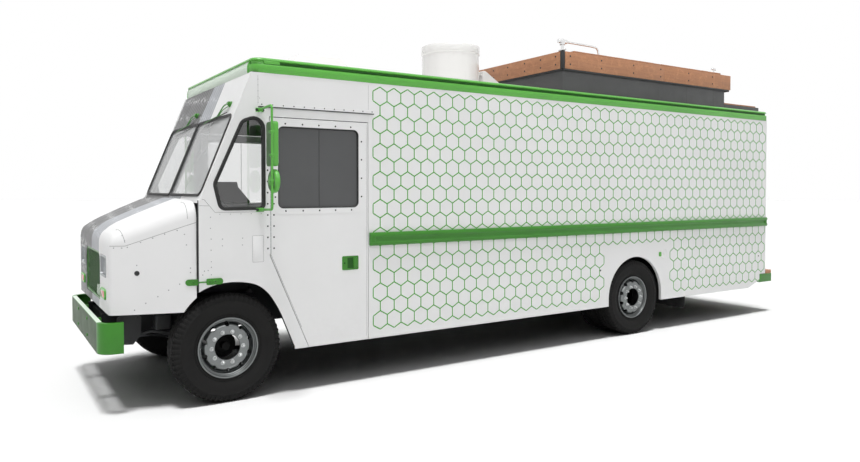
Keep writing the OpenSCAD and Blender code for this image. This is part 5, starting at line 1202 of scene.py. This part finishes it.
# ------------------------------------------------------------------ mirrors
mm, mg, mk = MB(), MB(), MB()
tx, ty = -.278, 1.460
tube(mm, bend([(tx, HW + .004, 1.702), (tx, ty - .012, 1.710), (tx, ty, 1.730), (tx, ty, 2.30), (tx, ty, 2.592), (tx, ty - .020, 2.610), (tx, HW + .06, 2.600), (tx, HW + .004, 2.594)], .022, 6), .0105, 14)
for z in (1.702, 2.594):
    box(mm, (tx - .032, HW - .001, z - .018), (tx + .040, HW + .010, z + .018), .004, 2)
    rod(mm, (tx, HW + .006, z), (tx, HW + .050, z), .017, 18, ch=.003)
    for dx in (-.026, .030): bolt(mk, (tx + dx, HW + .010, z), (0, 1, 0), .0085, .005)
for z in (2.38, 2.18, 1.957): box(mm, (tx - .016, ty - .050, z - .012), (tx + .012, ty + .0135, z + .012), .004, 2)
# tall head: rounded box, its front face painted a darker green than its edge as painted shade
rings = []
for x, g_ in ((-.285, .020), (-.2875, .0080), (-.292, .0015), (-.297, .0), (-.332, .0), (-.338, .003), (-.3415, .012)):
    rings.append([V(x, y, z) for y, z in rrect(1.2855 + g_, 2.0855 + g_, 1.4565 - g_, 2.4745 - g_, .026, 5)])
loft(mm, rings)
plate(mg, [rrect(1.2975, 2.097, 1.4445, 2.463, .020, 4)], lambda u, v: (-.3410, u, v), (-.0010, 0, 0))
# round convex head
lathe(mm, [(0, -.006), (.040, -.004), (.070, .002), (.090, .010), (.100, .019), (.1038, .027), (.1038, .049), (.100, .053), (0, .053)], (-.285, 1.394, 1.957), (-1, 0, 0), 48, closed=False)
lathe(mg, [(0, .0520), (.093, .0520), (.0935, .0530), (.078, .0540), (.045, .0548), (0, .0552)], (-.285, 1.394, 1.957), (-1, 0, 0), 48, closed=False)
mk.mirror().make("mirror_bolts", M["trim"], "root", "steel_dark", sharp=35)
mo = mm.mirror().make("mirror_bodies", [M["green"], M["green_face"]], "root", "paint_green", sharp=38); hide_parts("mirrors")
# painted shade: the forward faces of the tall head take the darker green
for p in mo.data.polygons:
    if p.normal.x > 0.75 and p.center.x - GX < -.283: p.material_index = 1
mg.mirror().make("mirror_glass", M["chrome"], "root", "wheel_metal", sharp=38)

# ------------------------------------------------------------------ wipers, hung from the header
wp, wb = MB(), MB()
def surf(y, z, off): 
    return V(ws_x(z), y, z) + SN * off
def wiper(yp, zp, y0, z0, y1, z1):
    c = surf(yp, zp, 0.0)
    lathe(wp, [(0, -.004), (.030, -.004), (.030, .004), (.024, .012), (.016, .030), (.0, .032)], c, SN, 24, closed=False)
    ym, zm = (y0 * .35 + y1 * .65), (z0 * .35 + z1 * .65)
    elb = surf(yp - .12, zp - .012, .024)
    tube(wp, bend([surf(yp, zp, .024), elb, surf(ym, zm, .016)], .03, 5), .0075, 10, flat=.6)
    tube(wp, bend([surf(yp + .01, zp - .030, .018), surf(yp - .11, zp - .045, .018), surf(ym + .015, zm, .014)], .03, 5), .004, 8)
    box(wp, (-.014, -.032, -.010), (.014, .032, .006), .004, 2, 0, Matrix.Translation(surf(yp, zp, .026)) @ Matrix((SU, V(0, 1, 0), SN)).transposed().to_4x4())
    d = surf(y1, z1, 0) - surf(y0, z0, 0)
    P = [surf(y0 + (y1 - y0) * k / 10, z0 + (z1 - z0) * k / 10, .0115 + .004 * sin(pi * k / 10)) for k in range(11)]
    tube(wb, P, .0055, 8, flat=.7)
    for t in (.12, .36, .64, .88):
        q = surf(y0 + (y1 - y0) * t, z0 + (z1 - z0) * t, .014)
        tube(wp, [q, surf(y0 + (y1 - y0) * (.5 + (t - .5) * .5), z0 + (z1 - z0) * (.5 + (t - .5) * .5), .022)], .0035, 6)
    tube(wp, [surf(y0 + (y1 - y0) * .25, z0 + (z1 - z0) * .25, .022), surf(y0 + (y1 - y0) * .75, z0 + (z1 - z0) * .75, .022)], .0040, 6)
wiper(.911, 2.657, .178, 2.511, .942, 2.575)
wiper(-.200, 2.650, -.933, 2.504, -.169, 2.568)
wp.make("wiper_arms", M["green2"], "root", "paint_green", sharp=40); wb.make("wiper_blades", M["trim"], "root", "seat_black", sharp=40)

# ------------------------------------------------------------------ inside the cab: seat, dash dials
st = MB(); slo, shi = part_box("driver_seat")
SX, SY = -0.860, 0.560
def cushion(mb, x0, y0, z0, x1, y1, z1, r, puff=.012, rows=3, along="y", mat=None):
    bm = bmesh.new(); bmesh.ops.create_cube(bm, size=1)
    bmesh.ops.scale(bm, vec=V(x1 - x0, y1 - y0, z1 - z0), verts=bm.verts)
    bmesh.ops.bevel(bm, geom=bm.edges[:], offset=r, segments=5, profile=.5, affect="EDGES")
    bmesh.ops.subdivide_edges(bm, edges=[e for e in bm.edges if e.calc_length() > r * 1.5], cuts=14, use_grid_fill=True)
    for v in bm.verts:
        u = v.co.y / ((y1 - y0) / 2); w = v.co.x / ((x1 - x0) / 2); t = v.co.z / ((z1 - z0) / 2)
        k = (1 - u * u) * (1 - w * w)
        v.co.z += (puff * max(0, k)) * (1 if v.co.z > 0 else -.3)
        if t > .5: v.co.z -= .006 * max(0, cos(u * rows * pi * 2 / 2)) ** 8
    if mat is None: mat = Matrix.Translation(((x0 + x1) / 2, (y0 + y1) / 2, (z0 + z1) / 2))
    bmesh.ops.transform(bm, matrix=mat, verts=bm.verts)
    mb.take(bm)
cushion(st, SX - .24, SY - .24, 1.205, SX + .25, SY + .24, 1.300, .035, .012, 3)
bk = Matrix.Translation((SX - .235, SY, 1.62)) @ Matrix.Rotation(radians(78), 4, "Y")
cushion(st, -.32, -.235, -.055, .32, .235, .055, .038, .010, 3, mat=bk)
hk_ = Matrix.Translation((SX - .290, SY, 1.905)) @ Matrix.Rotation(radians(80), 4, "Y")
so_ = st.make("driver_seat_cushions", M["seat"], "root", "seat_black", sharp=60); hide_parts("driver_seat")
sb = MB()
box(sb, (SX - .20, SY - .17, .881), (SX + .20, SY + .17, .905), .008)
for k in range(6):
    z = .91 + k * .042; box(sb, (SX - .15 + .006 * (k % 2), SY - .13 + .006 * (k % 2), z), (SX + .15 - .006 * (k % 2), SY + .13 - .006 * (k % 2), z + .036), .012, 3)
box(sb, (SX - .235, SY - .235, 1.165), (SX + .235, SY + .235, 1.203), .012)
for s in (-1, 1): tube(sb, bend([(SX - .10, SY + s * .243, 1.18), (SX - .225, SY + s * .243, 1.22), (SX - .262, SY + s * .240, 1.50)], .06), .012, 10)
sb.make("driver_seat_base", M["trim"], "root", "seat_black", sharp=40)
# dials and switches on the dash, steering wheel spokes come with the frame
di = MB()
for y in (.46, .56, .66): lathe(di, [(0, -.004), (.040, -.004), (.042, .003), (.036, .004), (.034, .001), (0, .001)], (-.051, y, 1.545), V(-.77, 0, .64), 32, closed=False)
for k in range(6): box(di, (-.060, -.30 + .06 * k, 1.40), (-.046, -.265 + .06 * k, 1.43), .003)
di.make("dash_dials", M["trim"], "root", "dash_grey", sharp=35)

# ------------------------------------------------------------------ chassis ends, flaps, rear bumper
hp = MB()
for s in (1, -1):
    poly = [(.829, .745), (.800, .772), (.650, .765), (.628, .742), (.632, .580), (.698, .502), (.772, .508), (.832, .590)]
    plate(hp, [poly], lambda u, v: (u, s * .602, v), (0, s * -.012, 0))
    rod(hp, (.730, s * .430, .640), (.730, s * .592, .640), .038, 24, ch=.004)
    box(hp, (.665, min(s * .430, s * .592), .690), (.795, max(s * .430, s * .592), .700), .002)
    for x, z in ((.800, .735), (.665, .735), (.715, .540), (.790, .610)): bolt(hp, (x, s * .602, z), (0, s, 0), .011, .008)
    # radius arm and steering box below the nose
    tube(hp, bend([(.66, s * .50, .56), (.52, s * .52, .60), (.40, s * .52, .56), (.20, s * .50, .50)], .05, 5), .020, 12)
    box(hp, (.36, min(s * .436, s * .56), .60), (.50, max(s * .436, s * .56), .74), .018, 3)
    # round holes' rims along the rail
    x = .50
    while x > -7.9:
        if not (-.55 < x < .35 or -6.1 < x < -4.5): 
            for z in (.60, .73): lathe(hp, [(.0, -.001), (.012, -.001), (.012, .0015), (.0085, .0025), (.0, .0025)], (x, s * .432, z), (0, s, 0), 12, closed=False)
        x -= .21
hp.make("rail_gussets", M["gusset"], "root", "frame_black", sharp=30)
# mud flaps on hangers
mf = MB(); FLX = -6.345
for s in (1, -1):
    for k in range(1):
        plate(mf, [rrect(s * .868 - .262, .238, s * .868 + .262, .785, .055, 6)], lambda u, v: (FLX, u, v), (-.010, 0, 0))
    box(mf, (FLX - .022, s * .868 - .268, .775), (FLX + .012, s * .868 + .268, .805), .004)
mf.make("mud_flaps", M["flap"], "root", "seat_black", sharp=40)
# rear bumper: channel with a toothed top, timber pad
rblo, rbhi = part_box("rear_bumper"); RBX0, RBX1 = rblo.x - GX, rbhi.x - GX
rb_, rt_ = MB(), MB()
sec = [(0, .470), (0, .586), (-.004, .590), (-.060, .590), (-.060, .582), (-.008, .582), (-.008, .478), (-.060, .478), (-.060, .470)]
bp = [V(x, y, 0) for x, y in rpts([(-8.110, 1.160, 0), (RBX0 + .004, 1.160, .030), (RBX0 + .004, -1.160, .030), (-8.110, -1.160, 0)], 5)]
sweep(rb_, bp, sec, (0, 0, 1), closed=False)
bx_ = MB()
n = 12
for s in (-1, 1):
    for k in range(7):
        box(rb_, (-8.418 + .004, s * (.12 + k * .15), .5895), (-8.400, s * (.12 + k * .15) + .075, .612), .003)
box(rt_, (-8.4285, -1.155, .5905), (-8.2865, 1.155, .6445), .006)
for k in range(16):
    box(rb_, (-8.4305, -1.085 + k * .1375, .600), (-8.4255, -1.040 + k * .1375, .636), .002)
for s in (-1, 1):
    for k in range(8): dome(rb_, (RBX0 + .0005, s * (.2 + .125 * k), .505), (-1, 0, 0), .007, .003)
    box(rb_, (-8.36, s * .412 - .020, .5605), (-8.185, s * .412 + .020, .5885), .003)
    # serrated step tread at each end
    for k in range(9): box(rb_, (-8.415 + k * .0145, s * 1.130 - .022, .589), (-8.409 + k * .0145, s * 1.130 + .022, .606), .0015, 1)
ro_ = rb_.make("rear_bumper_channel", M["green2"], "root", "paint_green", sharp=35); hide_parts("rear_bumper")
rt_.make("rear_step_timber", M["wood_y"], "root", "deck_wood", sharp=35)
gx_ = MB()
for k in range(11): box(gx_, (-8.420, -1.05 + k * .2, .6445), (-8.295, -.93 + k * .2, .6475), .001, 1)
gx_.make("step_grip_pads", M["felt"], "root", "seat_black", sharp=30)

# rear face: hinges, handle, lamps; marker lamps; hatch frame, stays and latch
TB = TAIL
rd_, rdh, rdb = MB(), MB(), MB()
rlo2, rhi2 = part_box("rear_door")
for z in (1.05, 1.75, 2.45):
    rod(rdh, (TB - .010, .478, z - .06), (TB - .010, .478, z + .06), .010, 16, ch=.002)
    box(rdh, (TB - .006, .484, z - .05), (TB + .001, .556, z + .05), .002)
    box(rd_, (TB - .006, .36, z - .05), (TB + .001, .438, z + .05), .002)
    for y in (.508, .538): bolt(rdb, (TB - .006, y, z - .03), (-1, 0, 0), .006, .004); bolt(rdb, (TB - .006, y, z + .03), (-1, 0, 0), .006, .004)
box(rd_, (TB - .010, -.40, 1.55), (TB + .001, -.31, 1.76), .004)
tube(rd_, bend([(TB - .008, -.355, 1.60), (TB - .050, -.355, 1.60), (TB - .050, -.355, 1.72), (TB - .008, -.355, 1.72)], .018), .010, 12)
plate(rd_, [rrect(-.31, 1.80, .31, 2.40, .05, 5), rrect(-.27, 1.84, .27, 2.36, .035, 5)], lambda u, v: (TB - .008, u, v), (.009, 0, 0))
wn = MB(); box(wn, (TB - .004, -.268, 1.842), (TB - .001, .268, 2.358), .001)
rd_.make("rear_door_fittings", M["green"], "door_rear", "paint_green", sharp=35); rdh.make("rear_door_hinges", M["green"], "root", "paint_green", sharp=35)
wn.make("rear_door_pane", M["glass_dark"], "door_rear", "glass_dark"); rdb.make("rear_door_bolts", M["trim"], "root", "steel_dark")
tl, tl2, tb2 = MB(), MB(), MB()
for s in (1, -1):
    for z in (1.02, 1.20): 
        lathe(tl, [(0, -.001), (.056, -.001), (.058, .006), (.050, .014), (.020, .019), (0, .0195)], (TB - .006, s * .98, z), (-1, 0, 0), 32, closed=False)
        lathe(tb2, [(.056, -.003), (.072, -.003), (.073, .004), (.066, .009), (.058, .008)], (TB - .004, s * .98, z), (-1, 0, 0), 32)
    box(tl2, (TB - .018, s * .98 - .05, .83), (TB + .001, s * .98 + .05, .90), .008, 3)
    for y in (.16, 0, -.16) if s > 0 else (): box(tl, (TB - .016, y - .045, 2.78), (TB + .001, y + .045, 2.81), .008, 3)
    for y in (.95,): box(tl, (TB - .016, s * y - .045, 2.78), (TB + .001, s * y + .045, 2.81), .008, 3)
tl.make("tail_lamps", M["lens_red"], "root", "lamp", sharp=40); tl2.make("reverse_lamps", M["lens_clear"], "root", "lamp", sharp=40); tb2.make("tail_lamp_bezels", M["trim"], "root", "seat_black", sharp=40)
mk = MB()
plate(mk, [rrect(-5.800, .989, -5.756, 1.049, .014, 4)], lambda u, v: (u, HW + .009, v), (0, -.010, 0))
mk.mirror().make("side_markers", M["green"], "root", "paint_green", sharp=40)
fl_ = MB(); lathe(fl_, [(0, -.001), (.078, -.001), (.080, .002), (.078, .0045), (.060, .0055), (.056, .003), (0, .004)], (-5.865, HW, 1.026), (0, 1, 0), 40, closed=False)
rod(fl_, (-5.865, HW + .003, 1.026), (-5.865, HW + .010, 1.026), .018, 20, ch=.003)
fl_.make("filler_door", M["white"], "root", "paint_white", sharp=35)
dts = MB()
for x, z in ((-4.644, .873), (-8.074, .875)): dome(dts, (x, HW, z), (0, 1, 0), .012, .004, 16)
dts.mirror().make("body_plugs", M["trim"], "root", "steel_dark")
# hatch on the right side
hf, hh, hw_ = MB(), MB(), MB()
plate(hf, [rrect(hx0 - .055, hz0 - .055, hx1 + .055, hz1 + .055, .012, 3), rrect(hx0 - .008, hz0 - .008, hx1 + .008, hz1 + .008, .004, 2)], lambda u, v: (u, -HW - .006, v), (0, .008, 0))
box(hf, (hx0 - .03, -HW - .165, hz0 - .062), (hx1 + .03, -HW + .001, hz0 - .032), .006)
for x in (hx0 + .2, (hx0 + hx1) / 2, hx1 - .2):
    box(hf, (x - .012, -HW - .150, hz0 - .20), (x + .012, -HW + .001, hz0 - .06), .004)
hf.make("hatch_surround_and_shelf", M["green"], "root", "paint_green", sharp=30)
rod(hh, (hx0 + .05, -HW - .006, hz1 + .004), (hx1 - .05, -HW - .006, hz1 + .004), .007, 12) if False else None
box(hw_, (hx0 + .02, -HW - .0065, hz0 + .012), (hx1 - .02, -HW + .0005, hz0 + .042), .003)
for x in (hx0 + .35, hx1 - .35):
    box(hw_, (x - .03, -HW - .012, hz0 + .05), (x + .03, -HW + .0005, hz0 + .12), .005); rod(hw_, (x - .02, -HW - .022, hz0 + .085), (x + .02, -HW - .022, hz0 + .085), .007, 12, ch=.002)
hw_.make("hatch_trim", M["bezel"], "hatch", "wheel_metal", sharp=35)

# ------------------------------------------------------------------ floor, light, camera
t = NT("studio_floor")
fl = t.noise(0.35, 3)
M["floor_pale"] = t.set(col=t.mix(fl, lin("#F1F1F1"), lin("#F6F6F6")), rough=0.8, spec=0.0, nrm=t.bump(t.noise(60, 2), 0.03, 0.001))
fm = bpy.data.meshes.new("studio_floor")
fm.from_pydata([(-140, -140, 0), (140, -140, 0), (140, 140, 0), (-140, 140, 0)], [], [(0, 1, 2, 3)]); fm.materials.append(M["floor_pale"])
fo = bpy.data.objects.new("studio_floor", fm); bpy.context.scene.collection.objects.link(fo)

sc = bpy.context.scene
w = bpy.data.worlds.new("studio"); sc.world = w; w.use_nodes = True
nt = w.node_tree; nt.nodes.clear()
ow = nt.nodes.new("ShaderNodeOutputWorld"); bg = nt.nodes.new("ShaderNodeBackground"); tc = nt.nodes.new("ShaderNodeTexCoord"); sx = nt.nodes.new("ShaderNodeSeparateXYZ")
cr = nt.nodes.new("ShaderNodeValToRGB"); mr = nt.nodes.new("ShaderNodeMapRange")
nt.links.new(tc.outputs["Generated"], sx.inputs[0]); nt.links.new(sx.outputs[2], mr.inputs[0]); mr.inputs[1].default_value = -0.2; mr.inputs[2].default_value = 1.0
nt.links.new(mr.outputs[0], cr.inputs[0]); nt.links.new(cr.outputs[0], bg.inputs["Color"]); nt.links.new(bg.outputs[0], ow.inputs[0])
e = cr.color_ramp.elements
e[0].position = 0.17; e[0].color = (0.015, 0.015, 0.015, 1)
e[1].position = 1.0; e[1].color = (1, 1, 1, 1)
k = e.new(0.45); k.color = (0.04, 0.04, 0.04, 1)
k = e.new(0.70); k.color = (0.75, 0.75, 0.75, 1)
bg.inputs["Strength"].default_value = 0.50

# white backdrop: seen and reflected, but it lights nothing
t = NT("studio_backdrop"); t.t.nodes.remove(t.p)
em = t.n("Emission"); em.inputs["Color"].default_value = (1, 1, 1, 1); em.inputs["Strength"].default_value = 1.0
t.link(em.outputs[0], t.out.inputs["Surface"]); M["backdrop"] = t.m
bd = MB(); lathe(bd, [(120 * cos(a), 120 * sin(a)) for a in [radians(-4 + 94 * k / 16) for k in range(16)]] + [(0, 120)] , (0, 0, 0), (0, 0, 1), 48, closed=False)
bme = bpy.data.meshes.new("backdrop"); bme.from_pydata(bd.v, [], bd.f); bme.materials.append(M["backdrop"])
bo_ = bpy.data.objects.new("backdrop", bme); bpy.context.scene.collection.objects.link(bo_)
bo_.visible_diffuse = False; bo_.visible_shadow = False; bo_.visible_volume_scatter = False

def area(name, loc, target, size, power, size_y=None):
    l = bpy.data.lights.new(name, "AREA"); l.shape = "RECTANGLE"; l.size = size; l.size_y = size_y or size; l.energy = power
    o = bpy.data.objects.new(name, l); bpy.context.scene.collection.objects.link(o)
    d = (Vector(target) - Vector(loc)).normalized()
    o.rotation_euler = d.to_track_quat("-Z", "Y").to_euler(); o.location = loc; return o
key = area("key_soft", (GX + 0.6, 11, 12), (GX - 3.4, 0, 1.3), 12, 575, 4)
lit = bpy.data.collections.new("key_receivers")      # the side key leaves the floor alone, so the shadow stays under the truck
key.light_linking.receiver_collection = lit
for o in bpy.data.objects:
    if o.type == "MESH" and o is not fo and o is not bo_: lit.objects.link(o)
sl = bpy.data.lights.new("top_sun", "SUN"); sl.energy = 2.7; sl.angle = radians(11)
so = bpy.data.objects.new("top_sun", sl); bpy.context.scene.collection.objects.link(so)
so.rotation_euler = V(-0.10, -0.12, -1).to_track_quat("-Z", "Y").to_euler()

cam = bpy.data.cameras.new("camera"); co = bpy.data.objects.new("camera", cam); sc.collection.objects.link(co)
cam.sensor_width = 36; cam.lens = 28.893; cam.shift_x = 0; cam.shift_y = -0.0304; cam.clip_end = 500
ya, pa = radians(236.6775), radians(-1.277)
f = V(cos(ya) * cos(pa), sin(ya) * cos(pa), sin(pa)); r_ = f.cross(V(0, 0, 1)).normalized(); u_ = r_.cross(f)
m3 = Matrix((r_, u_, -f)).transposed()
co.matrix_world = Matrix.Translation((1.8506 + GX, 7.1681, 1.8834)) @ m3.to_4x4()
sc.camera = co
sc.view_settings.view_transform = "Standard"
